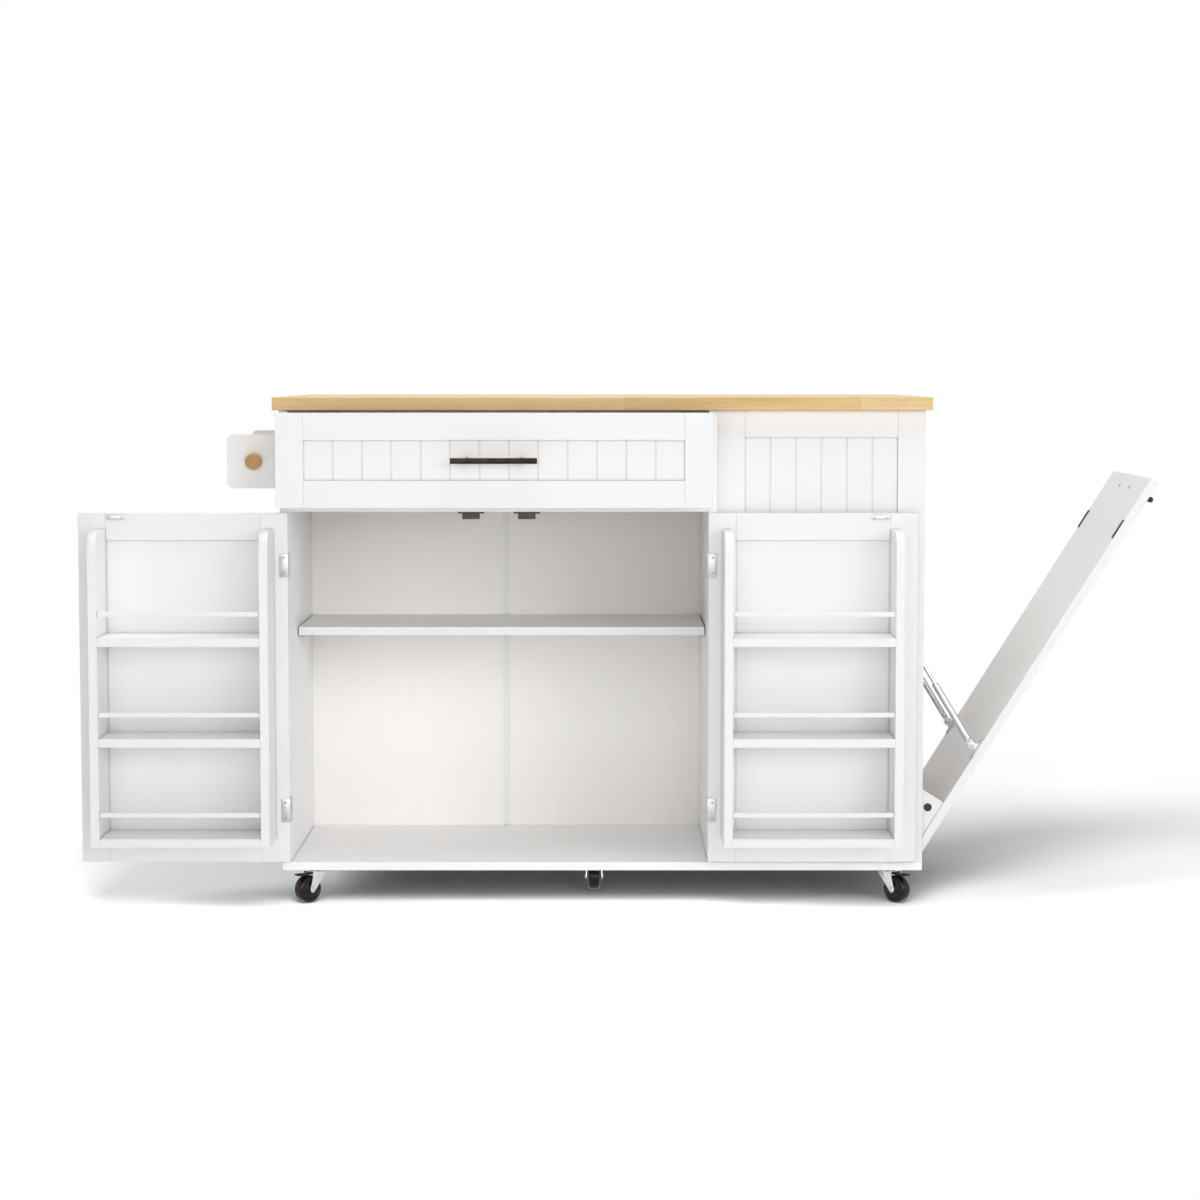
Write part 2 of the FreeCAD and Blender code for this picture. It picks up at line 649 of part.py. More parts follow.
# Magnetic catches of the doors, under the stretcher.
catch_y = "(board + strike_thickness + catch_gap)"
catches = []
for side, sign in (("left", "-"), ("right", "+")):
    middle = f"({bay_middle} {sign} catch_offset)"
    plate = block(f"catch_{side}_plate", f"{middle} - catch_plate_width / 2", catch_y,
                  f"{stretcher_under} - catch_plate_thickness", "catch_plate_width",
                  "catch_plate_depth", "catch_plate_thickness")
    magnet = block(f"catch_{side}_magnet", f"{middle} - catch_width / 2", catch_y,
                   f"{stretcher_under} - catch_plate_thickness - catch_height", "catch_width",
                   "catch_depth", "catch_height")
    catches.append(fuse(f"catch_{side}", plate, magnet))
subpart("door_catches", *catches)


# Bin door, laid out upright from its pivot: X = 0 mid-thickness, +X outwards, Y as the cabinet.
def tilt(label, *pieces):
    """Hang a sub-part of the bin door on its pivot and tilt it out."""
    subpart(label, *pieces, x=bin_pivot_x, z=bin_pivot_z, axis=(0, 1, 0), angle="bin_open_angle")


bin_height = f"({bin_rise} + bin_pivot_lift)"
bin_slab = board("bin_slab", "-board / 2", bin_near, "-bin_pivot_lift", "board", "bin_door_width",
                 bin_height)
bead_span = "(bin_door_width - 2 * stile_width)"
bead_rise = f"({bin_height} - 2 * rail_width)"
bin_field = block("bin_field", "board / 2 - front_recess", f"{bin_near} + stile_width",
                  "rail_width - bin_pivot_lift", "2 * front_recess", bead_span, bead_rise)
bin_cutters = [bin_field]
for number in range(1, sizes["side_beads"]):
    bin_cutters.append(block(f"bin_groove_{number}", "board / 2 - front_recess - groove_depth",
                             f"{bin_near} + stile_width + {number} * {bead_span} / side_beads"
                             " - groove_width / 2", "rail_width - bin_pivot_lift",
                             "2 * groove_depth", "groove_width", bead_rise))
tilt("bin_door", cut("bin_door_routed", bin_slab, *bin_cutters))

tray_near = f"({bin_near} + tray_side_gap)"
tray_far = f"({bin_far} - tray_side_gap - board)"
tray_x = "(-board / 2 - tray_depth)"
tray_low = "(-bin_pivot_lift)"
tray_boards = []
for side, at in (("near", tray_near), ("far", tray_far)):
    tray_boards.append(board(f"tray_{side}_side", tray_x, at, tray_low, "tray_depth", "board",
                             "tray_height"))
tray_span = f"({tray_far} - {tray_near} - board)"
tray_boards.append(board("tray_base", tray_x, f"{tray_near} + board", tray_low, "tray_depth",
                         tray_span, "tray_floor"))
tray_boards.append(board("tray_end", tray_x, f"{tray_near} + board", f"{tray_low} + tray_floor",
                         "board", tray_span, "tray_height - tray_floor"))
tilt("bin_tray", *tray_boards)

bin_bar = handle("bin_bar", "(board / 2)", bin_middle, f"({bin_rise} - bin_handle_drop)", "Y")
bin_bar_feet = []
for side, sign in (("near", "-"), ("far", "+")):
    bin_bar_feet.append(rod(f"bin_bar_{side}_foot", "X", "board / 2",
                            f"{bin_middle} {sign} handle_pitch / 2", f"{bin_rise} - bin_handle_drop",
                            "handle_post_radius", "handle_reach"))
tilt("bin_door_handle", fuse("bin_handle_whole", bin_bar, *bin_bar_feet))

# Pivot pins that stand on the door's two edges and turn in bores of the frame.
near_pin = rod("near_pin", "Y", "0", f"{bin_near} - bin_side_gap - bin_pin_depth", "0",
               "bin_pin_radius", "bin_pin_depth + bin_side_gap")
far_pin = rod("far_pin", "Y", "0", bin_far, "0", "bin_pin_radius", "bin_pin_depth + bin_side_gap")


# The struts, their brackets, the strikes and catches are alike at the near and the far edge: a
# span of Y that starts at a distance inside the near edge is mirrored to the far edge.
def edge_y(edge, start, width):
    return f"{bin_near} + {start}" if edge == "near" else f"{bin_far} - ({start}) - ({width})"


eye_start = "(strut_from_edge - strut_eye_width / 2)"
pin_rise = "strut_pivot_rise"
pin_x = "(-board / 2 - strut_pivot_inset)"
door_fittings = [near_pin, far_pin]
for edge in ("near", "far"):
    strike = block(f"bin_strike_{edge}", "-board / 2 - strike_thickness",
                   edge_y(edge, "bin_strike_inset", "bin_strike_width"),
                   f"{bin_rise} - bin_strike_drop - bin_strike_length / 2", "strike_thickness",
                   "bin_strike_width", "bin_strike_length")
    foot = block(f"strut_foot_{edge}", "-board / 2 - strut_plate_thickness",
                 edge_y(edge, "strut_plate_inset", "strut_plate_width"),
                 f"{pin_rise} - strut_plate_length / 2", "strut_plate_thickness",
                 "strut_plate_width", "strut_plate_length")
    ear_start = f"({eye_start} - strut_end_gap - strut_plate_thickness)"
    ear_y = edge_y(edge, ear_start, "strut_plate_thickness")
    ear = block(f"strut_ear_{edge}", f"{pin_x} - 2 * strut_pin_radius", ear_y,
                f"{pin_rise} - 2 * strut_pin_radius",
                "strut_pivot_inset + 2 * strut_pin_radius", "strut_plate_thickness",
                "4 * strut_pin_radius")
    stud_length = "(strut_plate_thickness + strut_end_gap + strut_eye_width)"
    stud = rod(f"strut_stud_{edge}", "Y", pin_x, edge_y(edge, ear_start, stud_length), pin_rise,
               "strut_pin_radius", stud_length)
    door_fittings.append(strike)
    door_fittings.append(fuse(f"strut_bracket_{edge}", foot, ear, stud))
tilt("bin_door_fittings", *door_fittings)

cams = []
for edge in ("near", "far"):
    cams.append(rod(f"cam_{edge}", "Y", "-board / 2 - cam_inset",
                    edge_y(edge, "tray_side_gap - cam_proud", "cam_proud"),
                    f"{tray_low} + tray_height - cam_drop", "cam_radius", "cam_proud"))
tilt("tray_cam_caps", *cams)

# Gas struts, laid out from the pin on the door: +Z towards the cabinet end.
strut_x = (f"({bin_pivot_x} + {pin_x} * cos(bin_open_angle)"
           f" + {pin_rise} * sin(bin_open_angle))")
strut_z = (f"({bin_pivot_z} - {pin_x} * sin(bin_open_angle)"
           f" + {pin_rise} * cos(bin_open_angle))")


def lean(label, *pieces):
    """Hang a strut's sub-part on the pin of the open bin door and lean it to the cabinet."""
    subpart(label, *pieces, x=strut_x, z=strut_z, axis=(0, -1, 0), angle="strut_lean")


def eye(name, edge, z, radius, bore):
    """The flat round end of a strut."""
    y = edge_y(edge, eye_start, "strut_eye_width")
    ring = rod(name + "_ring", "Y", "0", y, z, radius, "strut_eye_width")
    hole = rod(name + "_hole", "Y", "0", f"{y} - 1", z, bore, "strut_eye_width + 2")
    return ring, hole


tube_start = "(strut_eye_radius + strut_tang)"
tubes = []
rods = []
for edge in ("near", "far"):
    strut_y = edge_y(edge, "strut_from_edge", "0")
    pin_bore = "strut_pin_radius + strut_play"
    tube_ring, tube_hole = eye(f"tube_eye_{edge}", edge, "0", "strut_eye_radius", pin_bore)
    tang = block(f"tang_{edge}", "-strut_tube_radius", edge_y(edge, eye_start, "strut_eye_width"),
                 "0", "2 * strut_tube_radius", "strut_eye_width", f"{tube_start} + 1")
    barrel = rod(f"barrel_{edge}", "Z", "0", strut_y, tube_start, "strut_tube_radius",
                 "strut_tube_length")
    shaft = rod(f"barrel_bore_{edge}", "Z", "0", strut_y, "2 * strut_eye_radius",
                "strut_rod_radius + strut_play", "strut_tube_length")
    tube_blank = fuse(f"tube_blank_{edge}", tube_ring, tang, barrel)
    tubes.append(cut(f"tube_{edge}", tube_blank, tube_hole, shaft))
    rod_start = f"({tube_start} + strut_tube_length - strut_rod_engaged)"
    rod_ring, rod_hole = eye(f"rod_eye_{edge}", edge, "strut_open_length", "strut_eye_radius - 1",
                             pin_bore)
    stem = rod(f"stem_{edge}", "Z", "0", strut_y, rod_start, "strut_rod_radius",
               f"strut_open_length - {rod_start} - strut_pin_radius - 1")
    rod_blank = fuse(f"rod_blank_{edge}", rod_ring, stem)
    rods.append(cut(f"rod_{edge}", rod_blank, rod_hole))
lean("strut_tubes", *tubes)
lean("strut_rods", *rods)

# Cabinet ends of the struts: a stud on a foot, short of the rod's eye, so that the linkage is
# open there; and the magnetic catches of the bin door.
anchor_x = f"({strut_x} - strut_open_length * sin(strut_lean))"
anchor_z = f"({strut_z} + strut_open_length * cos(strut_lean))"
cabinet_fittings = []
bin_catches = []
catch_z = f"({bin_pivot_z} + {bin_rise} - bin_strike_drop - bin_strike_length / 2)"
magnet_x = "(body_width / 2 - board - strike_thickness - catch_gap - catch_depth)"
for edge in ("near", "far"):
    wall = "board" if edge == "near" else f"({back_face} - board)"
    stud_end = edge_y(edge, f"{eye_start} - strut_end_gap", "0")
    foot_y = wall if edge == "near" else f"{wall} - strut_plate_thickness"
    foot = block(f"anchor_foot_{edge}", f"{anchor_x} - strut_plate_width / 2", foot_y,
                 f"{anchor_z} - strut_plate_length / 2", "strut_plate_width",
                 "strut_plate_thickness", "strut_plate_length")
    if edge == "near":
        stud = rod("anchor_stud_near", "Y", anchor_x, wall, anchor_z, "2 * strut_pin_radius",
                   f"{stud_end} - {wall}")
        magnet_y = wall
    else:
        stud = rod("anchor_stud_far", "Y", anchor_x, stud_end, anchor_z, "2 * strut_pin_radius",
                   f"{wall} - ({stud_end})")
        magnet_y = f"{wall} - bin_catch_width"
    cabinet_fittings.append(fuse(f"strut_anchor_{edge}", foot, stud))
    bin_catches.append(block(f"bin_catch_{edge}", magnet_x, magnet_y, catch_z, "catch_depth",
                             "bin_catch_width", "bin_strike_length"))
subpart("strut_anchors", *cabinet_fittings)
subpart("bin_catches", *bin_catches)

# Towel bar: two boards with rounded outer corners on the left end and a dowel through both.
towel_x = f"({left_face} - towel_board_size)"
towel_z = f"({body_top} - towel_drop - towel_board_size)"
towel_near = "towel_end_inset"
towel_far = f"({body_depth} - towel_end_inset - board)"
dowel_bore = rod("dowel_bore", "Y", f"{towel_x} + towel_board_size / 2", "0",
                 f"{towel_z} + towel_board_size / 2", "dowel_radius", body_depth)
towel_boards = []
for name, at in (("near", towel_near), ("far", towel_far)):
    blank = rounded(f"towel_{name}", towel_x, at, towel_z, "towel_board_size", "board",
                    "towel_board_size",
                    lambda mid, box: mid.x < 0.01 and abs(mid.y - box.Center.y) < 0.01,
                    "towel_corner")
    towel_boards.append(cut(f"towel_{name}_bored", blank, dowel_bore))
subpart("towel_boards", *towel_boards)
dowel = rod("dowel", "Y", f"{towel_x} + towel_board_size / 2", f"{towel_near} - dowel_proud",
            f"{towel_z} + towel_board_size / 2", "dowel_radius",
            f"{towel_far} + board + dowel_proud - ({towel_near} - dowel_proud)")
subpart("towel_dowel", dowel)

# Leaf hinges: three butt hinges under the joint between worktop and leaf.
pin_z = f"({body_top} - leaf_knuckle_radius)"
flap_z = f"{body_top} - leaf_flap_thickness"
flap_gap = "(leaf_knuckle_radius + hinge_play)"
fixed_flaps = []
leaf_flaps = []
for spot in (-1, 0, 1):
    hinge_x = f"({spot} * leaf_hinge_spacing - leaf_hinge_length / 2)"
    tag = {-1: "left", 0: "middle", 1: "right"}[spot]
    third = "(leaf_hinge_length / 3)"
    fixed = [block(f"fixed_flap_{tag}", hinge_x, f"{leaf_line} - leaf_flap_reach", flap_z,
                   "leaf_hinge_length", f"leaf_flap_reach - {flap_gap}", "leaf_flap_thickness")]
    for part in (0, 2):
        part_x = f"{hinge_x} + {part} * {third}"
        fixed.append(rod(f"fixed_knuckle_{tag}_{part}", "X", part_x, leaf_line, pin_z,
                         "leaf_knuckle_radius", third))
        fixed.append(block(f"fixed_web_{tag}_{part}", part_x, f"{leaf_line} - {flap_gap}", flap_z,
                           third, flap_gap, "leaf_flap_thickness"))
    fixed_flaps.append(fuse(f"fixed_hinge_{tag}", *fixed))
    flap = block(f"leaf_flap_{tag}", hinge_x, f"{leaf_line} + {flap_gap}", flap_z,
                 "leaf_hinge_length", f"leaf_flap_reach - {flap_gap}", "leaf_flap_thickness")
    knuckle_x = f"{hinge_x} + {third} + hinge_play"
    knuckle = rod(f"leaf_knuckle_{tag}", "X", knuckle_x, leaf_line, pin_z, "leaf_knuckle_radius",
                  f"{third} - 2 * hinge_play")
    knuckle_web = block(f"leaf_web_{tag}", knuckle_x, leaf_line, flap_z,
                        f"{third} - 2 * hinge_play", flap_gap, "leaf_flap_thickness")
    leaf_flaps.append(fuse(f"leaf_hinge_{tag}", flap, knuckle, knuckle_web))
subpart("leaf_hinge_fixed_flaps", *fixed_flaps)

# Leaf stays: a flat bar from an ear under the leaf down to a slotted track on the rear edge of
# each end of the cabinet. The bar's lower end stands beside the track, where the linkage is open.
stay_pin_y = f"({leaf_line} + stay_reach)"
stay_pin_z = f"({pin_z} - stay_drop)"
stay_foot_y = f"({body_depth} + stay_line)"
stay_run = f"({stay_pin_y} - {stay_foot_y})"
stay_fall = f"sqrt(stay_length ^ 2 - {stay_run} ^ 2)"
stay_lean = f"asin({stay_run} / stay_length)"
track_low = f"({pin_z} - stay_reach - stay_length - track_margin)"
track_length = f"({stay_pin_z} - {stay_fall} + track_margin - {track_low})"
ears = []
tracks = []
bars = []
for side, way in (("left", -1), ("right", 1)):
    # Outwards from the middle: ear and track first, then the bar on their inner side.
    plate_x = (f"({left_face} + track_inset)" if way < 0 else
               f"({right_face} - track_inset - track_thickness)")
    bar_x = (f"({plate_x} + track_thickness + stay_gap)" if way < 0 else
             f"({plate_x} - stay_gap - stay_thickness)")
    ear_reach = f"({body_top} - {stay_pin_z} + stay_half_width)"
    ear_plate = block(f"ear_plate_{side}", plate_x, f"{stay_pin_y} - 2 * stay_half_width",
                      f"{body_top} - {ear_reach}", "track_thickness", "4 * stay_half_width",
                      ear_reach)
    foot_x = plate_x if way < 0 else f"{plate_x} - ear_foot_reach"
    ear_foot = block(f"ear_foot_{side}", foot_x, f"{stay_pin_y} - 2 * stay_half_width",
                     f"{body_top} - track_thickness", "track_thickness + ear_foot_reach",
                     "4 * stay_half_width", "track_thickness")
    stud_x = plate_x if way < 0 else bar_x
    ear_pin = rod(f"ear_pin_{side}", "X", stud_x, stay_pin_y, stay_pin_z, "stay_pin_radius",
                  "track_thickness + stay_gap + stay_thickness")
    ears.append(fuse(f"leaf_ear_{side}", ear_plate, ear_foot, ear_pin))
    flange_x = plate_x if way < 0 else f"({right_face} - board + track_inset)"
    flange = block(f"track_flange_{side}", flange_x, body_depth, track_low,
                   "board - 2 * track_inset", "track_thickness", track_length)
    track_web = block(f"track_web_{side}", plate_x, body_depth, track_low, "track_thickness",
                      "track_reach", track_length)
    slot = block(f"track_slot_{side}", f"{plate_x} - 1", f"{stay_foot_y} - stay_pin_radius",
                 f"{track_low} + track_margin / 2", "track_thickness + 2", "2 * stay_pin_radius",
                 f"{track_length} - track_margin")
    track_blank = fuse(f"track_blank_{side}", flange, track_web)
    tracks.append(cut(f"track_{side}", track_blank, slot))
    # The bar is laid out hanging straight down from its upper pin and then leans to the track.
    low_end = rod(f"bar_low_{side}", "X", bar_x, "0", "-stay_length", "stay_half_width",
                  "stay_thickness")
    top_end = rod(f"bar_top_{side}", "X", bar_x, "0", "0", "stay_half_width", "stay_thickness")
    middle = block(f"bar_middle_{side}", bar_x, "-stay_half_width", "-stay_length",
                   "stay_thickness", "2 * stay_half_width", "stay_length")
    holes = []
    for end, at in (("top", "0"), ("low", "-stay_length")):
        holes.append(rod(f"bar_{end}_hole_{side}", "X", f"{bar_x} - 1", "0", at,
                         "stay_pin_radius + strut_play", "stay_thickness + 2"))
    bar_blank = fuse(f"bar_blank_{side}", low_end, top_end, middle)
    bars.append(cut(f"stay_bar_{side}", bar_blank, *holes))
subpart("leaf_stays", *bars, y=stay_pin_y, z=stay_pin_z, axis=(-1, 0, 0), angle=stay_lean)
subpart("leaf_fittings", *leaf_flaps, *ears)
subpart("stay_tracks", *tracks)


# Casters, laid out from the swivel line at the cabinet's underside: the wheel trails to +X.
axle_z = "(wheel_radius - caster_height)"
race_top = "(-caster_plate_thickness - race_gap)"
crown_z = f"({race_top} - race_height - fork_plate)"
outer = "(fork_inner / 2 + fork_plate)"


def caster(tag, x, y, yaw, braked):
    """One swivel caster: fork with its axle, wheel and, at the front, a brake lever."""
    race = rod(f"race_{tag}", "Z", "0", "0", f"{race_top} - race_height", "race_radius",
               "race_height")
    crown = block(f"crown_{tag}", "-fork_front", f"-{outer}", crown_z, "fork_front + fork_rear",
                  f"2 * {outer}", "fork_plate")
    shapes = [race, crown]
    for side, low_y in (("near", f"-{outer}"), ("far", "fork_inner / 2")):
        leg = doc.addObject("Part::Wedge", f"leg_{tag}_{side}")
        bind(leg, Xmin="-fork_front", Xmax="fork_rear", Ymin="0", Ymax=f"{crown_z} - {axle_z}",
             Zmin="0", Zmax="fork_plate", X2min="trail - fork_foot", X2max="trail + fork_foot",
             Z2min="0", Z2max="fork_plate")
        leg.Placement = FreeCAD.Placement(FreeCAD.Vector(), FreeCAD.Rotation(0, 0, -90))
        place(leg, "0", low_y, crown_z)
        foot = rod(f"foot_{tag}_{side}", "Y", "trail", low_y, axle_z, "fork_foot", "fork_plate")
        shapes += [leg, foot]
    holes = [rod(f"axle_hole_{tag}", "Y", "trail", f"-{outer} - 1", axle_z, "axle_radius",
                 f"2 * {outer} + 2")]
    if braked:
        holes.append(rod(f"lever_hole_{tag}", "Y", "lever_pivot", f"-{outer} - 1", "-lever_drop",
                         "lever_pin_radius + lever_pin_play", f"2 * {outer} + 2"))
    fork = cut(f"fork_{tag}", fuse(f"fork_blank_{tag}", *shapes), *holes)
    axle = rod(f"axle_{tag}", "Y", "trail", f"-{outer} - axle_proud", axle_z, "axle_radius",
               f"2 * ({outer} + axle_proud)")
    spot = {"x": x, "y": y, "z": "caster_height", "angle": yaw}
    subpart(f"caster_fork_{tag}", fork, axle, **spot)
    tyre = doc.addObject("PartDesign::Body", f"tyre_{tag}")
    disc = tyre.newObject("PartDesign::AdditiveCylinder", f"disc_{tag}")
    bind(disc, Radius="wheel_radius", Height="wheel_width")
    doc.recompute([disc])
    rims = []
    for number, edge in enumerate(disc.Shape.Edges, 1):
        if edge.Curve.TypeId == "Part::GeomCircle":
            rims.append(f"Edge{number}")
    crowned = tyre.newObject("PartDesign::Fillet", f"crowned_{tag}")
    crowned.Base = (disc, rims)
    bind(crowned, Radius="wheel_round")
    tyre.Placement = FreeCAD.Placement(FreeCAD.Vector(), TURNS["Y"])
    place(tyre, "trail", "-wheel_width / 2", axle_z)
    hub = rod(f"hub_{tag}", "Y", "trail", "-wheel_width / 2 - hub_proud", axle_z, "hub_radius",
              "wheel_width + 2 * hub_proud")
    bore = rod(f"wheel_bore_{tag}", "Y", "trail", "-wheel_width", axle_z,
               "axle_radius + wheel_bore_play", "2 * wheel_width")
    wheel = cut(f"wheel_{tag}", fuse(f"wheel_blank_{tag}", tyre, hub), bore)
    subpart(f"caster_wheel_{tag}", wheel, **spot)
    if braked:
        pedal = block(f"pedal_{tag}", "lever_pivot - 2 * lever_pin_radius", "-lever_width / 2",
                      "-lever_drop - lever_thickness / 2", "lever_length", "lever_width",
                      "lever_thickness")
        pivot = rod(f"pedal_pin_{tag}", "Y", "lever_pivot", f"-{outer}", "-lever_drop",
                    "lever_pin_radius", f"2 * {outer}")
        subpart(f"brake_lever_{tag}", fuse(f"lever_{tag}", pedal, pivot), **spot)


caster_left = f"({left_face} + caster_inset_side)"
caster_right = f"({right_face} - caster_inset_side)"
rear_line = f"({body_depth} - caster_inset_end)"
spots = (
    ("front_left", caster_left, "caster_inset_end", "-135", True),
    ("front_right", caster_right, "caster_inset_end", "-45", True),
    ("middle", "(-middle_caster_left)", "middle_caster_back", "-90", False),
    ("rear_left", caster_left, rear_line, "-150", False),
    ("rear_right", caster_right, rear_line, "-20", False),
)
plates = []
for tag, x, y, yaw, braked in spots:
    caster(tag, x, y, yaw, braked)
    plates.append(block(f"caster_plate_{tag}", f"{x} - caster_plate / 2", f"{y} - caster_plate / 2",
                        "caster_height - caster_plate_thickness", "caster_plate", "caster_plate",
                        "caster_plate_thickness"))
subpart("caster_plates", *plates)

doc.recompute()
for item in doc.Objects:
    if "Invalid" in item.State or "Error" in item.State:
        raise RuntimeError(f"{item.Label} did not build")
os.makedirs("parts", exist_ok=True)
for item in subparts:
    if item.Shape.isNull() or not item.Shape.isValid():
        raise RuntimeError(f"{item.Label} has no valid shape")
    item.Shape.exportStep(f"parts/{item.Label}.step")
print(len(subparts), "sub-parts")
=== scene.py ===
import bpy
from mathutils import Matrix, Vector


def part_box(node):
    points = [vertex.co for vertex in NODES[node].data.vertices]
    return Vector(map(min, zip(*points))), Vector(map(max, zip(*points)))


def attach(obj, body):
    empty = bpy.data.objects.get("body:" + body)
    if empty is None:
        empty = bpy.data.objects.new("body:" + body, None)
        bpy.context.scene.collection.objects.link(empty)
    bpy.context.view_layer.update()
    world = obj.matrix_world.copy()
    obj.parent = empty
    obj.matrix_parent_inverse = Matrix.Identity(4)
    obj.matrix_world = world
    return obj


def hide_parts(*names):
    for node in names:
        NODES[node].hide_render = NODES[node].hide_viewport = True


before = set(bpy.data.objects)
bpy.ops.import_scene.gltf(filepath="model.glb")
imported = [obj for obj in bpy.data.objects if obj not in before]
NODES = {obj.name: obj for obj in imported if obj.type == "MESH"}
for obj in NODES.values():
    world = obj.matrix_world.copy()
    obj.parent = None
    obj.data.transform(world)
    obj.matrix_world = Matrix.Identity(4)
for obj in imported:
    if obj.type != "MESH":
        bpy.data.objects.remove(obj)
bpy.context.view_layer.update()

from math import cos, pi, radians, sin

import bmesh
import bpy
from mathutils import Matrix, Vector


def linear(code):
    """An sRGB hex colour as the linear RGBA that sockets take."""
    parts = [int(code[i:i + 2], 16) / 255 for i in (0, 2, 4)]
    return [c / 12.92 if c <= 0.04045 else ((c + 0.055) / 1.055) ** 2.4 for c in parts] + [1.0]


def add(tree, kind, inputs=None, **settings):
    """Add a node with its settings; an input that is a socket is linked, any other is set."""
    node = tree.nodes.new(kind)
    for name, value in settings.items():
        setattr(node, name, value)
    for name, value in (inputs or {}).items():
        if isinstance(value, bpy.types.NodeSocket):
            tree.links.new(value, node.inputs[name])
        else:
            node.inputs[name].default_value = value
    return node


def new_material(name):
    """An empty material with its output; returns the material, its tree and its output node."""
    material = bpy.data.materials.new(name)
    material.use_nodes = True
    tree = material.node_tree
    tree.nodes.clear()
    return material, tree, add(tree, "ShaderNodeOutputMaterial")


def ramp(tree, factor, *stops):
    """A colour ramp from (position, hex) stops."""
    node = add(tree, "ShaderNodeValToRGB", {"Fac": factor})
    points = node.color_ramp.elements
    while len(points) < len(stops):
        points.new(0.5)
    for point, (position, code) in zip(points, stops):
        point.position = position
        point.color = linear(code)
    return node.outputs["Color"]


def sprayed_lacquer(name, light, dark, roughness, peel_mm=2.4, peel_depth_mm=0.002):
    """Satin lacquer: two close tones that drift, fine orange peel, and painted shade in seams and
    corners.
    """
    material, tree, out = new_material(name)
    place = add(tree, "ShaderNodeTexCoord").outputs["Object"]
    # The tone drifts over about 300 mm, the width of one pass of the spray gun.
    drift = add(tree, "ShaderNodeTexNoise", {"Vector": place, "Scale": 3.3, "Detail": 3.0})
    colour = ramp(tree, drift.outputs["Fac"], (0.35, dark), (0.65, light))
    # Painted shade: seams and inner corners are darkened through an ambient occlusion mask.
    corner = add(tree, "ShaderNodeAmbientOcclusion", {"Distance": 0.005}, samples=6)
    painted_shade = add(tree, "ShaderNodeMapRange",
                {"Value": corner.outputs["AO"], "From Min": 0.3, "From Max": 0.9,
                 "To Min": 0.56, "To Max": 1.0})
    colour = add(tree, "ShaderNodeMix", {0: 1.0, 6: colour, 7: painted_shade.outputs["Result"]},
                 data_type="RGBA", blend_type="MULTIPLY").outputs[2]
    peel = add(tree, "ShaderNodeTexNoise",
               {"Vector": place, "Scale": 1000 / peel_mm, "Detail": 1.5, "Roughness": 0.4})
    bump = add(tree, "ShaderNodeBump",
               {"Height": peel.outputs["Fac"], "Strength": 0.6, "Distance": peel_depth_mm / 1000})
    sheen_map = add(tree, "ShaderNodeMapRange",
                    {"Value": drift.outputs["Fac"], "From Min": 0.3, "From Max": 0.7,
                     "To Min": roughness - 0.03, "To Max": roughness + 0.03})
    shader = add(tree, "ShaderNodeBsdfPrincipled",
                 {"Base Color": colour, "Roughness": sheen_map.outputs["Result"],
                  "Normal": bump.outputs["Normal"], "IOR": 1.49})
    tree.links.new(shader.outputs["BSDF"], out.inputs["Surface"])
    return material


def dress(material, *names):
    """Give CAD nodes a finished material."""
    for name in names:
        NODES[name].material_slots[0].material = material


def ease(width_mm, *names):
    """Round the sharp edges of CAD nodes, whose loose triangles are welded first."""
    for name in names:
        weld = NODES[name].modifiers.new("weld", "WELD")
        weld.merge_threshold = 0.00001
        bevel = NODES[name].modifiers.new("eased_edges", "BEVEL")
        bevel.width = width_mm / 1000
        bevel.segments = 2
        bevel.limit_method = "ANGLE"
        bevel.angle_limit = radians(40)


lacquer = sprayed_lacquer("mdf_satin_white_lacquer", "F7F6F6", "F5F4F3", 0.42)
BOARDS = ("side_panel_left", "partition_panel", "bottom_panel", "drawer_stretcher",
          "rear_top_rail", "right_rear_post", "right_front_frame", "right_front_beadboard",
          "shelf", "drawer_front_frame", "drawer_front_beadboard", "door_left_frame",
          "door_left_beadboard", "door_right_frame", "door_right_beadboard", "rack_left",
          "rack_right", "bin_door", "bin_tray", "towel_boards")
dress(lacquer, *BOARDS)
ease(0.6, *BOARDS)

# ---------------------------------------------------------------------------------------------
# Back panels, drawer box and drawer bottom. Hardboard and thin fibreboard faced with a matt white
# paper foil, whose print shows a very faint upright grain; the joint strip is extruded PVC.


def paper_foil(name, light, dark):
    """Matt printed foil: a faint stretched grain under a rough clear film."""
    material, tree, out = new_material(name)
    place = add(tree, "ShaderNodeTexCoord").outputs["Object"]
    # The printed grain's streaks are about 4.5 mm wide and 110 mm long.
    stretched = add(tree, "ShaderNodeMapping", {"Vector": place, "Scale": (220, 220, 9)})
    grain = add(tree, "ShaderNodeTexNoise",
                {"Vector": stretched.outputs["Vector"], "Scale": 1.0, "Detail": 5.0})
    colour = ramp(tree, grain.outputs["Fac"], (0.3, dark), (0.7, light))
    bump = add(tree, "ShaderNodeBump",
               {"Height": grain.outputs["Fac"], "Strength": 0.12, "Distance": 0.00004})
    shader = add(tree, "ShaderNodeBsdfPrincipled",
                 {"Base Color": colour, "Roughness": 0.55, "Normal": bump.outputs["Normal"]})
    tree.links.new(shader.outputs["BSDF"], out.inputs["Surface"])
    return material


foil = paper_foil("hardboard_white_foil", "F8F6F4", "F6F4F2")
dress(foil, "back_panels", "drawer_bottom", "drawer_box")
pvc = sprayed_lacquer("extruded_white_pvc", "F1F1F0", "ECECEA", 0.35, 4.0, 0.01)
dress(pvc, "back_joint_strip")

# ---------------------------------------------------------------------------------------------
# Worktop and drop leaf. Rubberwood staves, finger-jointed to length and edge-glued, sanded and
# clear-coated: a warm honey colour with fine straight pores, each stave a little different.
STAVE_WIDTH = 0.045
STAVE_LENGTH = 0.42


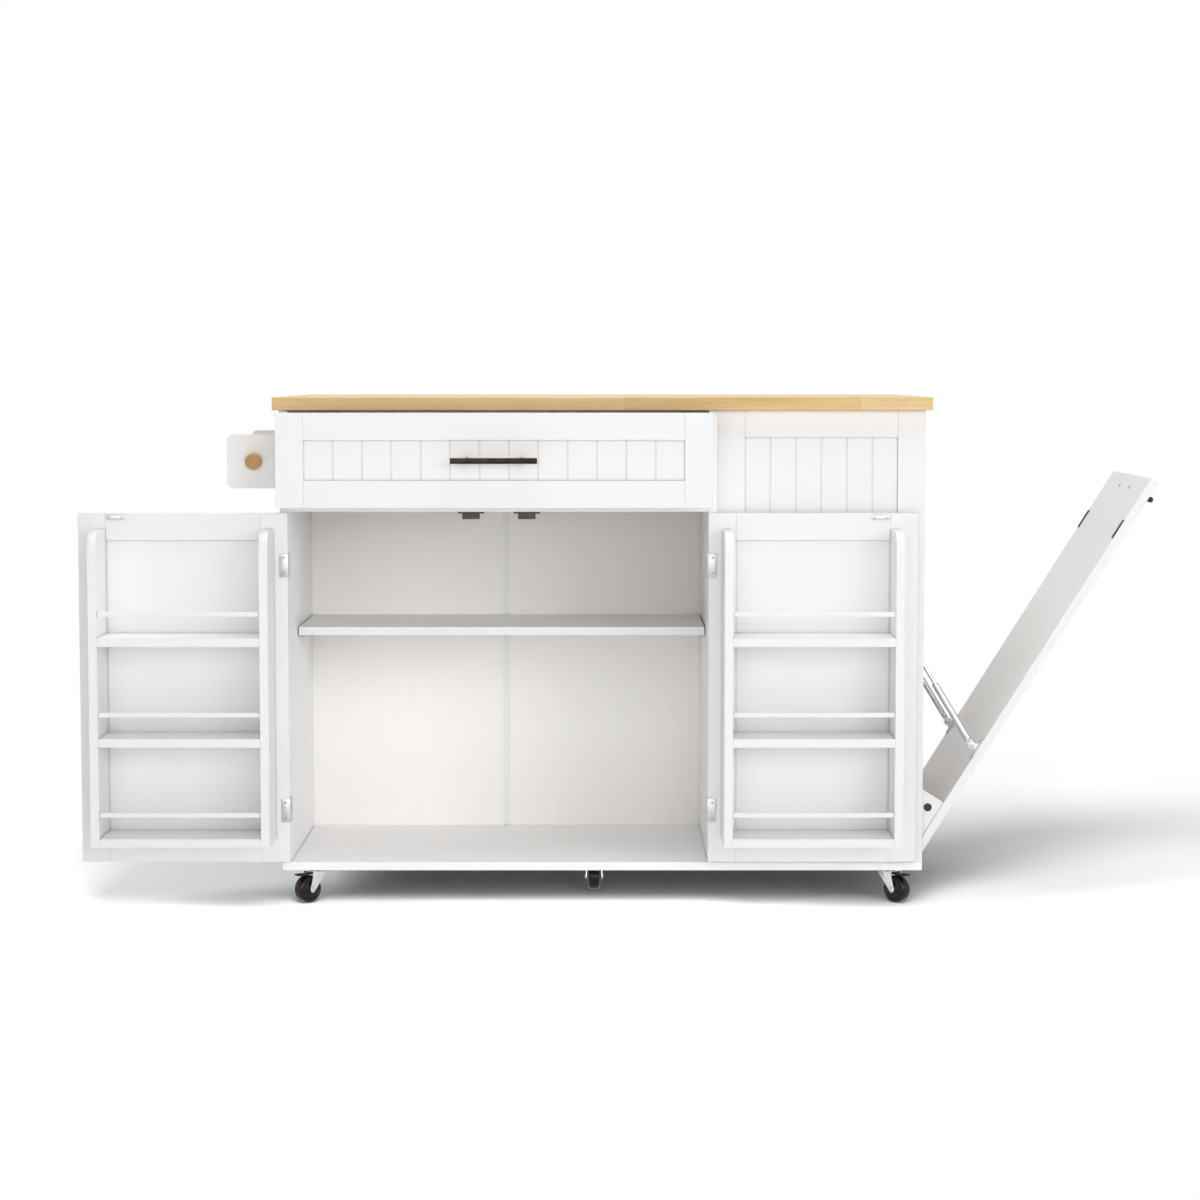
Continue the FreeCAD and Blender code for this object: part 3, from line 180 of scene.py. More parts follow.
def clear_coated_wood(name, along, tones, stave=None, roughness=0.36, pore_mm=0.5):
    """Wood with its grain along one axis. tones: darkest streak, dark, middle, light."""
    material, tree, out = new_material(name)
    coords = add(tree, "ShaderNodeTexCoord")
    # Turn the coordinates so that the grain always runs along the first one.
    turn = {"X": (0, 0, 0), "Y": (0, 0, pi / 2)}[along]
    place = add(tree, "ShaderNodeMapping",
                {"Vector": coords.outputs["Object"], "Rotation": turn}).outputs["Vector"]
    if stave:
        length, width = stave
        joints = add(tree, "ShaderNodeTexBrick",
                     {"Vector": place, "Color1": (0, 0, 0, 1), "Color2": (1, 1, 1, 1),
                      "Mortar": (0.5, 0.5, 0.5, 1), "Scale": 1.0, "Mortar Size": 0.0,
                      "Mortar Smooth": 0.0, "Bias": 0.0, "Brick Width": length,
                      "Row Height": width}, offset=0.41, offset_frequency=2,
                     squash=1.25, squash_frequency=3)
        shift = add(tree, "ShaderNodeVectorMath",
                    {0: joints.outputs["Color"], 1: (3.7, 5.3, 2.9)}, operation="MULTIPLY")
        place = add(tree, "ShaderNodeVectorMath",
                    {0: place, 1: shift.outputs["Vector"]}, operation="ADD").outputs["Vector"]
    # Growth bands 38 mm wide, a fibre 2.4 mm wide and short dark pores, all stretched along the
    # grain.
    bands_at = add(tree, "ShaderNodeMapping", {"Vector": place, "Scale": (2.2, 26, 26)})
    bands = add(tree, "ShaderNodeTexNoise",
                {"Vector": bands_at.outputs["Vector"], "Scale": 1.0, "Detail": 4.0,
                 "Roughness": 0.55, "Distortion": 0.6})
    fibre_at = add(tree, "ShaderNodeMapping", {"Vector": place, "Scale": (9, 420, 420)})
    fibre = add(tree, "ShaderNodeTexNoise",
                {"Vector": fibre_at.outputs["Vector"], "Scale": 1.0, "Detail": 3.0})
    pores_at = add(tree, "ShaderNodeMapping",
                   {"Vector": place, "Scale": (70, 1000 / pore_mm, 1000 / pore_mm)})
    pores = add(tree, "ShaderNodeTexNoise",
                {"Vector": pores_at.outputs["Vector"], "Scale": 1.0, "Detail": 2.0})
    mix = add(tree, "ShaderNodeMath", {0: fibre.outputs["Fac"], 1: 0.32}, operation="MULTIPLY")
    tone = add(tree, "ShaderNodeMath",
               {0: bands.outputs["Fac"], 1: 0.68, 2: mix.outputs["Value"]},
               operation="MULTIPLY_ADD").outputs["Value"]
    if stave:
        between = add(tree, "ShaderNodeMath", {0: joints.outputs["Color"], 1: 0.5},
                      operation="SUBTRACT")
        tone = add(tree, "ShaderNodeMath", {0: between.outputs["Value"], 1: 0.07, 2: tone},
                   operation="MULTIPLY_ADD").outputs["Value"]
    streak, dark, middle, light = tones
    colour = ramp(tree, tone, (0.3, dark), (0.5, middle), (0.7, light))
    dash = add(tree, "ShaderNodeMapRange",
               {"Value": pores.outputs["Fac"], "From Min": 0.62, "From Max": 0.74,
                "To Min": 0.0, "To Max": 0.5})
    colour = add(tree, "ShaderNodeMix",
                 {0: dash.outputs["Result"], 6: colour, 7: linear(streak)},
                 data_type="RGBA").outputs[2]
    # End grain drinks more clear coat, so it is darker.
    facing = add(tree, "ShaderNodeMapping", {"Vector": coords.outputs["Normal"], "Rotation": turn})
    ends = add(tree, "ShaderNodeSeparateXYZ", {0: facing.outputs["Vector"]})
    square = add(tree, "ShaderNodeMath", {0: ends.outputs["X"], 1: ends.outputs["X"]},
                 operation="MULTIPLY")
    end_mask = add(tree, "ShaderNodeMapRange",
                   {"Value": square.outputs["Value"], "From Min": 0.5, "From Max": 0.9,
                    "To Min": 0.0, "To Max": 0.35})
    colour = add(tree, "ShaderNodeMix",
                 {0: end_mask.outputs["Result"], 6: colour, 7: linear(streak)},
                 data_type="RGBA").outputs[2]
    bump = add(tree, "ShaderNodeBump",
               {"Height": fibre.outputs["Fac"], "Strength": 0.35, "Distance": 0.00012})
    gloss = add(tree, "ShaderNodeMapRange",
                {"Value": fibre.outputs["Fac"], "To Min": roughness - 0.05,
                 "To Max": roughness + 0.08})
    shader = add(tree, "ShaderNodeBsdfPrincipled",
                 {"Base Color": colour, "Roughness": gloss.outputs["Result"], "IOR": 1.5,
                  "Normal": bump.outputs["Normal"], "Coat Weight": 0.12, "Coat Roughness": 0.3})
    tree.links.new(shader.outputs["BSDF"], out.inputs["Surface"])
    return material


rubberwood = clear_coated_wood("rubberwood_clear_coat", "X",
                               ("A77E40", "CEA563", "DFBC7F", "E9CD97"),
                               (STAVE_LENGTH, STAVE_WIDTH))
dress(rubberwood, "worktop", "drop_leaf")

# ---------------------------------------------------------------------------------------------
# Bar handles of the drawer and the bin door. Steel tube and two turned posts, electroplated and
# antiqued to a dark oil-rubbed bronze with a satin gloss; machine screws hold them from behind.
# Fittings are placed in mm from the middle of the cabinet's front edge on the floor.
MM = 0.001
BOTTOM_LOW, BOTTOM_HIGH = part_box("bottom_panel")
in_mm = Matrix.Translation(((BOTTOM_LOW.x + BOTTOM_HIGH.x) / 2 / MM, BOTTOM_LOW.y / MM, 0.0))
BAR_LENGTH = 152
BAR_RADIUS = 5.25
POST_LENGTH = 25.5
POST_REACH = 48


def cast_metal(name, light, dark, roughness, metallic=1.0, grit_mm=0.6, depth_mm=0.01,
               spread=0.06):
    """Metal with a mottled tone, uneven gloss and a fine grain in its surface."""
    material, tree, out = new_material(name)
    place = add(tree, "ShaderNodeTexCoord").outputs["Object"]
    # The plating's cloudy patches are about 17 mm across.
    mottle = add(tree, "ShaderNodeTexNoise", {"Vector": place, "Scale": 60.0, "Detail": 4.0})
    colour = ramp(tree, mottle.outputs["Fac"], (0.3, dark), (0.7, light))
    grit = add(tree, "ShaderNodeTexNoise",
               {"Vector": place, "Scale": 1000 / grit_mm, "Detail": 2.0})
    bump = add(tree, "ShaderNodeBump",
               {"Height": grit.outputs["Fac"], "Strength": 0.3, "Distance": depth_mm / 1000})
    gloss = add(tree, "ShaderNodeMapRange",
                {"Value": mottle.outputs["Fac"], "From Min": 0.3, "From Max": 0.7,
                 "To Min": roughness - spread, "To Max": roughness + spread})
    shader = add(tree, "ShaderNodeBsdfPrincipled",
                 {"Base Color": colour, "Metallic": metallic, "Normal": bump.outputs["Normal"],
                  "Roughness": gloss.outputs["Result"]})
    tree.links.new(shader.outputs["BSDF"], out.inputs["Surface"])
    return material


def at(x, y, z):
    """A shift, in mm."""
    return Matrix.Translation((x, y, z))


# A turned shape that lies in Y has its axis along Y.
LIES_IN_Y = Matrix.Rotation(-pi / 2, 4, "X")


def turned(mesh, profile, matrix, steps=48):
    """Add a turned shape to a bmesh: (height, radius) points about Z, moved by a matrix (mm)."""
    rings = []
    for height, radius in profile:
        if radius == 0:
            rings.append([mesh.verts.new(matrix @ Vector((0, 0, height)) * MM)])
            continue
        ring = []
        for step in range(steps):
            angle = 2 * pi * step / steps
            point = Vector((radius * cos(angle), radius * sin(angle), height))
            ring.append(mesh.verts.new((matrix @ point) * MM))
        rings.append(ring)
    for low, high in zip(rings, rings[1:]):
        for step in range(steps):
            after = (step + 1) % steps
            corners = [low[step % len(low)], low[after % len(low)],
                       high[after % len(high)], high[step % len(high)]]
            unique = list(dict.fromkeys(corners))
            if len(unique) > 2:
                mesh.faces.new(unique)


def slab(mesh, outline, low, high, matrix):
    """Add a flat plate to a bmesh: an outline of (x, z) points between two y values (mm)."""
    front = [mesh.verts.new((matrix @ Vector((x, low, z))) * MM) for x, z in outline]
    rear = [mesh.verts.new((matrix @ Vector((x, high, z))) * MM) for x, z in outline]
    mesh.faces.new(front)
    mesh.faces.new(rear[::-1])
    for i in range(len(outline)):
        j = (i + 1) % len(outline)
        mesh.faces.new((front[j], front[i], rear[i], rear[j]))


def block(mesh, low, high, matrix):
    """Add a plain box to a bmesh (mm)."""
    outline = [(low[0], low[2]), (high[0], low[2]), (high[0], high[2]), (low[0], high[2])]
    slab(mesh, outline, low[1], high[1], matrix)


def arc(centre, radius, start, end, steps):
    """Points on an arc in (x, z), angles in degrees."""
    points = []
    for step in range(steps + 1):
        angle = radians(start + (end - start) * step / steps)
        points.append((centre[0] + radius * cos(angle), centre[1] + radius * sin(angle)))
    return points


def finished(name, mesh, material, body, replaced=(), easing_mm=0.0, smooth=35):
    """Turn a bmesh into a piece: eased edges, outward faces, its material, attached to its body,
    the parts it replaces hidden.
    """
    bmesh.ops.recalc_face_normals(mesh, faces=mesh.faces)
    if easing_mm:
        sharp = [edge for edge in mesh.edges
                 if len(edge.link_faces) == 2 and edge.calc_face_angle() > radians(40)]
        bmesh.ops.bevel(mesh, geom=sharp, offset=easing_mm * MM, segments=2, profile=0.5,
                        affect="EDGES", clamp_overlap=True)
    data = bpy.data.meshes.new(name)
    mesh.to_mesh(data)
    mesh.free()
    data.shade_smooth()
    data.set_sharp_from_angle(angle=radians(smooth))
    data.materials.append(material)
    piece = bpy.data.objects.new(name, data)
    bpy.context.scene.collection.objects.link(piece)
    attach(piece, body)
    if replaced:
        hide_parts(*replaced)
    return piece


handle_bar = [(0, 0), (0, 4.6), (0.7, BAR_RADIUS), (BAR_LENGTH - 0.7, BAR_RADIUS),
              (BAR_LENGTH, 4.6), (BAR_LENGTH, 0)]
handle_post = [(0, 0), (0, 5.2), (1.2, 5.2), (2.4, 3.6), (21, 3.5), (23.5, 4.2),
               (POST_LENGTH, 4.2), (POST_LENGTH, 0)]
oil_rubbed_bronze = cast_metal("oil_rubbed_bronze", "463C34", "2C2521", 0.34)


def bar_handle(name, matrix, foot_mm, body, node):
    """Bar along X, posts along +Y from it to the face; the bar's axis is at the matrix origin."""
    mesh = bmesh.new()
    along_x = Matrix.Rotation(pi / 2, 4, "Y")
    turned(mesh, handle_bar, matrix @ at(-BAR_LENGTH / 2, 0, 0) @ along_x)
    for side in (-POST_REACH, POST_REACH):
        # The post stands on the face, foot_mm behind the bar's axis.
        foot = at(side, foot_mm, 0) @ Matrix.Rotation(pi / 2, 4, "X")
        reach = [(height * foot_mm / POST_LENGTH, radius) for height, radius in handle_post]
        turned(mesh, reach, matrix @ foot, 24)
    return finished(name, mesh, oil_rubbed_bronze, body, (node,))


drawer_low, drawer_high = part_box("drawer_handle")
drawer_bar_at = Vector(((drawer_low.x + drawer_high.x) / 2, drawer_low.y + BAR_RADIUS * MM,
                        (drawer_low.z + drawer_high.z) / 2)) / MM
bar_handle("drawer_bar_handle", at(*drawer_bar_at),
           (drawer_high.y - drawer_low.y) / MM - BAR_RADIUS, "drawer", "drawer_handle")

# The bin door is tilted about its pivot, so what is fixed to it is placed in the door's own frame:
# X across its thickness from the middle, Z up from the pivot.
BIN_TILT = 32
BIN_PIVOT = (567.5, 0, 94.2)
BIN_DOOR_WIDTH = 414
BOARD = 15
BEAD_RECESS = 4
HANDLE_UP = 765.8
bin_frame = in_mm @ at(*BIN_PIVOT) @ Matrix.Rotation(radians(BIN_TILT), 4, "Y")
bin_bar_at = bin_frame @ at(BOARD / 2 + POST_LENGTH, BIN_DOOR_WIDTH / 2, HANDLE_UP)
bar_handle("bin_bar_handle", bin_bar_at @ Matrix.Rotation(pi / 2, 4, "Z"),
           POST_LENGTH + BEAD_RECESS, "bin_door", "bin_door_handle")

# ---------------------------------------------------------------------------------------------
# Towel bar. A turned beech dowel with eased ends, clear-coated, pushed through two lacquered
# boards that are screwed to the left end.
beech = clear_coated_wood("beech_clear_coat", "Y", ("8E6430", "BC8F4E", "CDA25F", "DAB678"),
                          roughness=0.4)
dowel_low, dowel_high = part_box("towel_dowel")
dowel_length = (dowel_high.y - dowel_low.y) / MM
DOWEL_RADIUS = 14
dowel_end = [(0, 0), (0, DOWEL_RADIUS - 1.6), (0.5, DOWEL_RADIUS - 0.6), (1.6, DOWEL_RADIUS)]
dowel_profile = dowel_end + [(dowel_length - height, radius)
                             for height, radius in reversed(dowel_end)]
dowel_at = Vector(((dowel_low.x + dowel_high.x) / 2, dowel_low.y,
                   (dowel_low.z + dowel_high.z) / 2)) / MM
mesh = bmesh.new()
turned(mesh, dowel_profile, at(*dowel_at) @ LIES_IN_Y, 64)
finished("towel_bar_dowel", mesh, beech, "cabinet", ("towel_dowel",))

# ---------------------------------------------------------------------------------------------
# Screws and rivets. Case-hardened steel, cold-headed and zinc plated, driven through the plates
# into the boards; low domed heads with a cross recess, each stopped at its own angle.
zinc = cast_metal("bright_zinc_plate", "CFCFCE", "BBBCBD", 0.4, 1.0, 0.5, 0.006)
# Painted shade: the screws' zinc is darker than the plates' zinc and stands in for the shade in
# their cross recesses.
screw_steel_painted_shade = cast_metal("zinc_plated_screw_steel_painted_shade", "B2B3B4", "989A9C", 0.3, 1.0, 0.3, 0.004)


def fastener_heads():
    """Node tree that puts a domed head on every point, facing along the point's aim."""
    tree = bpy.data.node_groups.new("fastener_heads", "GeometryNodeTree")
    for name, kind in (("Geometry", "Geometry"), ("Height", "Float"), ("Recess", "Float"),
                       ("Seed", "Int"), ("Material", "Material")):
        tree.interface.new_socket(name, in_out="INPUT", socket_type="NodeSocket" + kind)
    tree.interface.new_socket("Geometry", in_out="OUTPUT", socket_type="NodeSocketGeometry")
    given = add(tree, "NodeGroupInput").outputs
    size = add(tree, "ShaderNodeCombineXYZ", {"X": 1.0, "Y": 1.0, "Z": given["Height"]})
    ball = add(tree, "GeometryNodeMeshUVSphere", {"Segments": 20, "Rings": 12, "Radius": 1.0})
    dome = add(tree, "GeometryNodeTransform",
               {"Geometry": ball.outputs["Mesh"], "Scale": size.outputs["Vector"]})
    # The cutters: everything under the plate's face, and the two arms of the recess.
    left = add(tree, "ShaderNodeMath", {0: 1.0, 1: given["Recess"]}, operation="SUBTRACT")
    middle = add(tree, "ShaderNodeMath", {0: left.outputs["Value"], 1: given["Height"], 2: 1.0},
                 operation="MULTIPLY_ADD")
    lift = add(tree, "ShaderNodeCombineXYZ", {"Z": middle.outputs["Value"]})
    cut = add(tree, "GeometryNodeMeshBoolean", {0: dome.outputs["Geometry"]},
              operation="DIFFERENCE", solver="EXACT")
    for box, move in (((3, 3, 2), (0, 0, -1)), ((1.15, 0.24, 2), lift.outputs["Vector"]),
                      ((0.24, 1.15, 2), lift.outputs["Vector"])):
        cube = add(tree, "GeometryNodeMeshCube", {"Size": box})
        moved = add(tree, "GeometryNodeTransform",
                    {"Geometry": cube.outputs["Mesh"], "Translation": move})
        tree.links.new(moved.outputs["Geometry"], cut.inputs[1])
    aim = add(tree, "GeometryNodeInputNamedAttribute", {"Name": "aim"},
              data_type="FLOAT_VECTOR")
    head = add(tree, "GeometryNodeInputNamedAttribute", {"Name": "head"}, data_type="FLOAT")
    faced = add(tree, "FunctionNodeAlignRotationToVector", {"Vector": aim.outputs["Attribute"]},
                axis="Z")
    chance = add(tree, "FunctionNodeRandomValue", {2: 0.0, 3: 2 * pi, 8: given["Seed"]},
                 data_type="FLOAT")
    spin = add(tree, "FunctionNodeAxisAngleToRotation",
               {"Axis": (0, 0, 1), "Angle": chance.outputs[1]})
    turn = add(tree, "FunctionNodeRotateRotation",
               {"Rotation": faced.outputs["Rotation"], "Rotate By": spin.outputs["Rotation"]},
               rotation_space="LOCAL")
    placed = add(tree, "GeometryNodeInstanceOnPoints",
                 {"Points": given["Geometry"], "Instance": cut.outputs["Mesh"],
                  "Rotation": turn.outputs["Rotation"], "Scale": head.outputs["Attribute"]})
    real = add(tree, "GeometryNodeRealizeInstances", {"Geometry": placed.outputs["Instances"]})
    painted = add(tree, "GeometryNodeSetMaterial",
                  {"Geometry": real.outputs["Geometry"], "Material": given["Material"]})
    add(tree, "NodeGroupOutput", {"Geometry": painted.outputs["Geometry"]})
    return tree


HEADS = fastener_heads()


def fasteners(name, spots, body, material=screw_steel_painted_shade, height=0.4,
              recess=0.55):
    """Heads on one body; each spot is (matrix, place in mm, way it faces, head radius in mm)."""
    mesh = bpy.data.meshes.new(name)
    mesh.from_pydata([(matrix @ Vector(place)) * MM for matrix, place, way, radius in spots],
                     [], [])
    mesh.attributes.new("aim", "FLOAT_VECTOR", "POINT")
    mesh.attributes.new("head", "FLOAT", "POINT")
    for number, (matrix, place, way, radius) in enumerate(spots):
        mesh.attributes["aim"].data[number].vector = matrix.to_3x3() @ Vector(way)
        mesh.attributes["head"].data[number].value = radius * MM
    piece = bpy.data.objects.new(name, mesh)
    bpy.context.scene.collection.objects.link(piece)
    modifier = piece.modifiers.new("heads", "NODES")
    modifier.node_group = HEADS
    values = {"Height": height, "Recess": recess, "Seed": 7, "Material": material}
    for socket in HEADS.interface.items_tree:
        if socket.in_out == "INPUT" and socket.name in values:
            modifier[socket.identifier] = values[socket.name]
    graph = bpy.context.evaluated_depsgraph_get()
    result = bpy.data.meshes.new_from_object(piece.evaluated_get(graph))
    piece.modifiers.clear()
    piece.data = result
    result.name = name
    result.materials.clear()
    result.materials.append(material)
    result.shade_smooth()
    result.set_sharp_from_angle(angle=radians(30))
    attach(piece, body)


def plate_outline(width, height, radius, steps=5):
    """A rounded rectangle about the origin, as (x, z) points."""
    points = []
    for way_x, way_z, start in ((1, -1, -90), (1, 1, 0), (-1, 1, 90), (-1, -1, 180)):
        centre = (way_x * (width / 2 - radius), way_z * (height / 2 - radius))
        points += arc(centre, radius, start, start + 90, steps)
    return points


# A slab turned across has its outline along Y and Z; one laid flat has it along X and -Y.
ACROSS = Matrix.Rotation(pi / 2, 4, "Z")
FLAT = Matrix.Rotation(pi / 2, 4, "X")

# ---------------------------------------------------------------------------------------------
# Door hinges. Small butt hinges of pressed steel: the cabinet's leaf lies on the bay's side, the
# door's leaf wraps the edge, and the knuckles turn on a riveted pin. Bright zinc, screwed on.
HINGE_MIDDLES = (177, 616)
HINGE_TALL = 42
HINGE_THIRD = HINGE_TALL / 3
LEAF = 0.8
LEAF_CORNER = 3
KNUCKLE = 2.5
PIN_PROUD = 2.8
HINGE_SCREW_REACH = 14
STRIKE_HALF = 0.75


def knuckle(mesh, matrix, low, high, radius):
    """A rolled barrel about Z between two heights, its rims eased."""
    turned(mesh, [(low, 0), (low, radius - 0.3), (low + 0.3, radius), (high - 0.3, radius),
                  (high, radius - 0.3), (high, 0)], matrix, 24)


def leaf_outline(root, tip, low, high):
    """A hinge leaf from its root to its tip, the tip's corners rounded."""
    corner = tip - LEAF_CORNER
    outline = [(root, low)] + arc((corner, low + LEAF_CORNER), LEAF_CORNER, -90, 0, 5)
    return outline + arc((corner, high - LEAF_CORNER), LEAF_CORNER, 0, 90, 5) + [(root, high)]


cabinet_leaves = bmesh.new()
leaf_screws = []
for side, way, pin_x in (("left", 1, -558.4), ("right", -1, 188.4)):
    mirror = Matrix.Diagonal((way, 1, 1, 1))
    door_leaves = bmesh.new()
    door_screws = []
    for middle in HINGE_MIDDLES:
        # Cabinet leaf: its plate runs back from the pin along the bay's side.
        hung = in_mm @ at(pin_x, -PIN_PROUD, middle) @ mirror
        low, high = -HINGE_TALL / 2, HINGE_TALL / 2
        outline = leaf_outline(PIN_PROUD, 22.8, low, high)
        slab(cabinet_leaves, outline, LEAF, 2 * LEAF, hung @ ACROSS)
        for start in (low, low + 2 * HINGE_THIRD):
            block(cabinet_leaves, (-2 * LEAF, 0, start), (-LEAF, PIN_PROUD, start + HINGE_THIRD),
                  hung)
            knuckle(cabinet_leaves, hung, start, start + HINGE_THIRD, KNUCKLE)
        turned(cabinet_leaves, [(high, 0), (high, 1.5), (high + 0.5, 1.2), (high + 0.7, 0)],
               hung, 16)
        for z in (-HINGE_SCREW_REACH, HINGE_SCREW_REACH):
            leaf_screws.append((hung, (-LEAF, 14.8, z), (1, 0, 0), 2.3))
        # Door leaf, laid out closed and swung open by half a turn.
        swung = hung @ Matrix.Rotation(pi, 4, "Z")
        inner_face = PIN_PROUD + BOARD
        outline = leaf_outline(-LEAF / 2, 15.4, low, high)
        slab(door_leaves, outline, inner_face, inner_face + LEAF, swung)
        block(door_leaves, (-LEAF / 2, PIN_PROUD, low), (LEAF / 2, inner_face, high), swung)
        block(door_leaves, (-LEAF / 2, 0, -6.7), (LEAF / 2, PIN_PROUD, 6.7), swung)
        knuckle(door_leaves, swung, -6.7, 6.7, KNUCKLE)
        for z in (-HINGE_SCREW_REACH, HINGE_SCREW_REACH):
            door_screws.append((swung, (8, inner_face + LEAF, z), (0, 1, 0), 2.2))
    # Strike of pressed steel for the door's catch, near the top of the free edge.
    strike_at = in_mm @ at(pin_x - way * 305.4, -2 * PIN_PROUD - BOARD - STRIKE_HALF, 701.5)
    slab(door_leaves, plate_outline(33, 8, 3.2), -STRIKE_HALF, STRIKE_HALF, strike_at)
    for x in (-11, 11):
        door_screws.append((strike_at, (x, -STRIKE_HALF, 0), (0, -1, 0), 1.9))
    finished(f"door_{side}_hinges_and_strike", door_leaves, zinc, f"door_{side}",
             (f"door_{side}_fittings",), 0.15)
    fasteners(f"door_{side}_screws", door_screws, f"door_{side}", height=0.3)
finished("cabinet_hinges", cabinet_leaves, zinc, "cabinet",
         ("cabinet_hinge_leaves",), 0.15)
# Nearly flush, because the closed door's leaf passes 0.4 mm above them.
fasteners("cabinet_hinge_screws", leaf_screws, "cabinet", height=0.12, recess=0.5)

# ---------------------------------------------------------------------------------------------
# Door catches. A moulded brown ABS housing on a flange under the stretcher, with a ferrite magnet
# between two steel poles in its open front; two screws hold each flange.


def moulded_plastic(name, light, dark, roughness, specular=0.5):
    """Moulded plastic: spark-eroded grain and a slightly cloudy gloss."""
    material, tree, out = new_material(name)
    place = add(tree, "ShaderNodeTexCoord").outputs["Object"]
    # Flow clouds about 22 mm across and eroded grain of 0.6 mm.
    cloud = add(tree, "ShaderNodeTexNoise", {"Vector": place, "Scale": 45.0, "Detail": 3.0})
    colour = ramp(tree, cloud.outputs["Fac"], (0.3, dark), (0.7, light))
    grain = add(tree, "ShaderNodeTexVoronoi", {"Vector": place, "Scale": 1800.0})
    bump = add(tree, "ShaderNodeBump",
               {"Height": grain.outputs["Distance"], "Strength": 0.25, "Distance": 0.00003})
    shader = add(tree, "ShaderNodeBsdfPrincipled",
                 {"Base Color": colour, "Roughness": roughness, "IOR": 1.53,
                  "Specular IOR Level": specular, "Normal": bump.outputs["Normal"]})
    tree.links.new(shader.outputs["BSDF"], out.inputs["Surface"])
    return material


brown_abs = moulded_plastic("brown_abs", "4A3C35", "3D322D", 0.45)
ferrite = moulded_plastic("sintered_ferrite", "5A5A54", "4A4A45", 0.6)
phosphated = cast_metal("phosphated_steel", "6B6B64", "5A5A54", 0.55, 0.5)
housings = bmesh.new()
magnets = bmesh.new()
poles = bmesh.new()
cabinet_screws = []
CATCH_MIDDLES = (-235, -135)
STRETCHER_UNDER = 710.5
FLANGE = 4
for middle in CATCH_MIDDLES:
    hung = in_mm @ at(middle, 17, STRETCHER_UNDER)
    slab(housings, plate_outline(47, 24, 3), -FLANGE, 0, hung @ at(0, 12, 0) @ FLAT)
    for low_x, high_x in ((-15.5, -13), (1, 2.2), (13, 15.5)):
        block(housings, (low_x, 0, -14), (high_x, 15, -FLANGE), hung)
    block(housings, (-13, 0, -14), (13, 15, -12), hung)
    block(housings, (-13, 0.6, -12), (1, 15, -FLANGE), hung)
    block(housings, (2.2, 12, -12), (13, 15, -FLANGE), hung)
    block(magnets, (2.2, 1.2, -10.8), (13, 12, -5.2), hung)
    for low_z in (-12, -5.2):
        block(poles, (2.2, 0.3, low_z), (13, 12, low_z + 1.2), hung)
    for x in (-19.5, 19.5):
        cabinet_screws.append((hung, (x, 12, -FLANGE), (0, 0, -1), 2.3))
finished("door_catch_housings", housings, brown_abs, "cabinet",
         ("door_catches",), 0.3)
finished("door_catch_magnets", magnets, ferrite, "cabinet", (), 0.15)
finished("door_catch_poles", poles, phosphated, "cabinet")

# ---------------------------------------------------------------------------------------------
# Bin door fittings. Black-lacquered steel strikes, and struts' brackets and pivot pins of zinc
# plated steel; a bracket is a foot and a bent-up ear with a shouldered stud riveted through it.
black_steel = cast_metal("black_lacquered_steel", "2A2827", "1B1A19", 0.38, 0.6, 0.5, 0.006)
MIRRORED = at(0, BIN_DOOR_WIDTH, 0) @ Matrix.Diagonal((1, -1, 1, 1))
STRUT_PIN = (-19.1, 216.4)
STRUT_PLATE = (14, 42, 4)
strikes = bmesh.new()
brackets = bmesh.new()
bin_screws = []
for edge in (bin_frame, bin_frame @ MIRRORED):
    strike_at = edge @ at(-8.25, 25.5, 684) @ ACROSS
    slab(strikes, plate_outline(13, 38, 2.5), -STRIKE_HALF, STRIKE_HALF, strike_at)
    for z in (-15, 15):
        bin_screws.append((strike_at, (0, STRIKE_HALF, z), (0, 1, 0), 2))
    foot_at = edge @ at(-8.5, 25, STRUT_PIN[1]) @ ACROSS
    slab(brackets, plate_outline(*STRUT_PLATE), -1, 1, foot_at)
    for z in (-15, 15):
        bin_screws.append((foot_at, (0, 1, z), (0, 1, 0), 2.3))
    ear_low, ear_high = STRUT_PIN[1] - 12, STRUT_PIN[1] + 12
    ear = [(-7.7, ear_high), (-9.6, ear_high)] + arc(STRUT_PIN, 6, 50, 310, 14)
    ear += [(-9.6, ear_low), (-7.7, ear_low)]
    slab(brackets, ear, 26.2, 28.2, edge)
    stud_at = edge @ at(STRUT_PIN[0], 0, STRUT_PIN[1]) @ LIES_IN_Y
    turned(brackets, [(25.3, 0), (25.3, 2.6), (26.2, 3.8), (26.2, 0)], stud_at, 24)
    turned(brackets, [(28.2, 0), (28.2, 3), (35.6, 3), (35.6, 4.2), (36.4, 4.2), (36.9, 3.4),
                      (36.9, 0)], stud_at, 24)
    turned(brackets, [(6, 0), (6, 3.2), (6.8, 4), (17, 4), (17, 0)], edge @ LIES_IN_Y, 24)
finished("bin_door_strikes", strikes, black_steel, "bin_door", (), 0.3)
finished("strut_brackets", brackets, zinc, "bin_door", ("bin_door_fittings",), 0.2)
# The handle's two machine screws show on the door's inner face.
for side in (-POST_REACH, POST_REACH):
    face_spot = (-BOARD / 2, BIN_DOOR_WIDTH / 2 + side, HANDLE_UP)
    bin_screws.append((bin_frame, face_spot, (-1, 0, 0), 4))
fasteners("bin_door_screws", bin_screws, "bin_door", height=0.3)

# ---------------------------------------------------------------------------------------------
# Gas struts. A seamless steel tube, rolled in over the gland at one end and pressed flat to a
# tang at the other, with a ground piston rod; all chrome plated, as are the turning eyes.
chrome = cast_metal("chrome_plate", "E4E4E5", "D6D7D9", 0.12, 1.0, 0.8, 0.002, 0.03)
STRUT_FOOT = (665.98, 287.84)
STRUT_LEAN = 31.1
STRUT_INSET = 32
ANCHOR = (536.8, 501.9)
EYE = (3.25, -3.5, 3.5)


def ring(mesh, matrix, radius):
    """An eye about Z: a bored disc with eased rims."""
    bore, low, high = EYE
    turned(mesh, [(low, bore), (low, radius - 0.6), (low + 0.6, radius), (high - 0.6, radius),
                  (high, radius - 0.6), (high, bore), (low, bore)], matrix, 32)


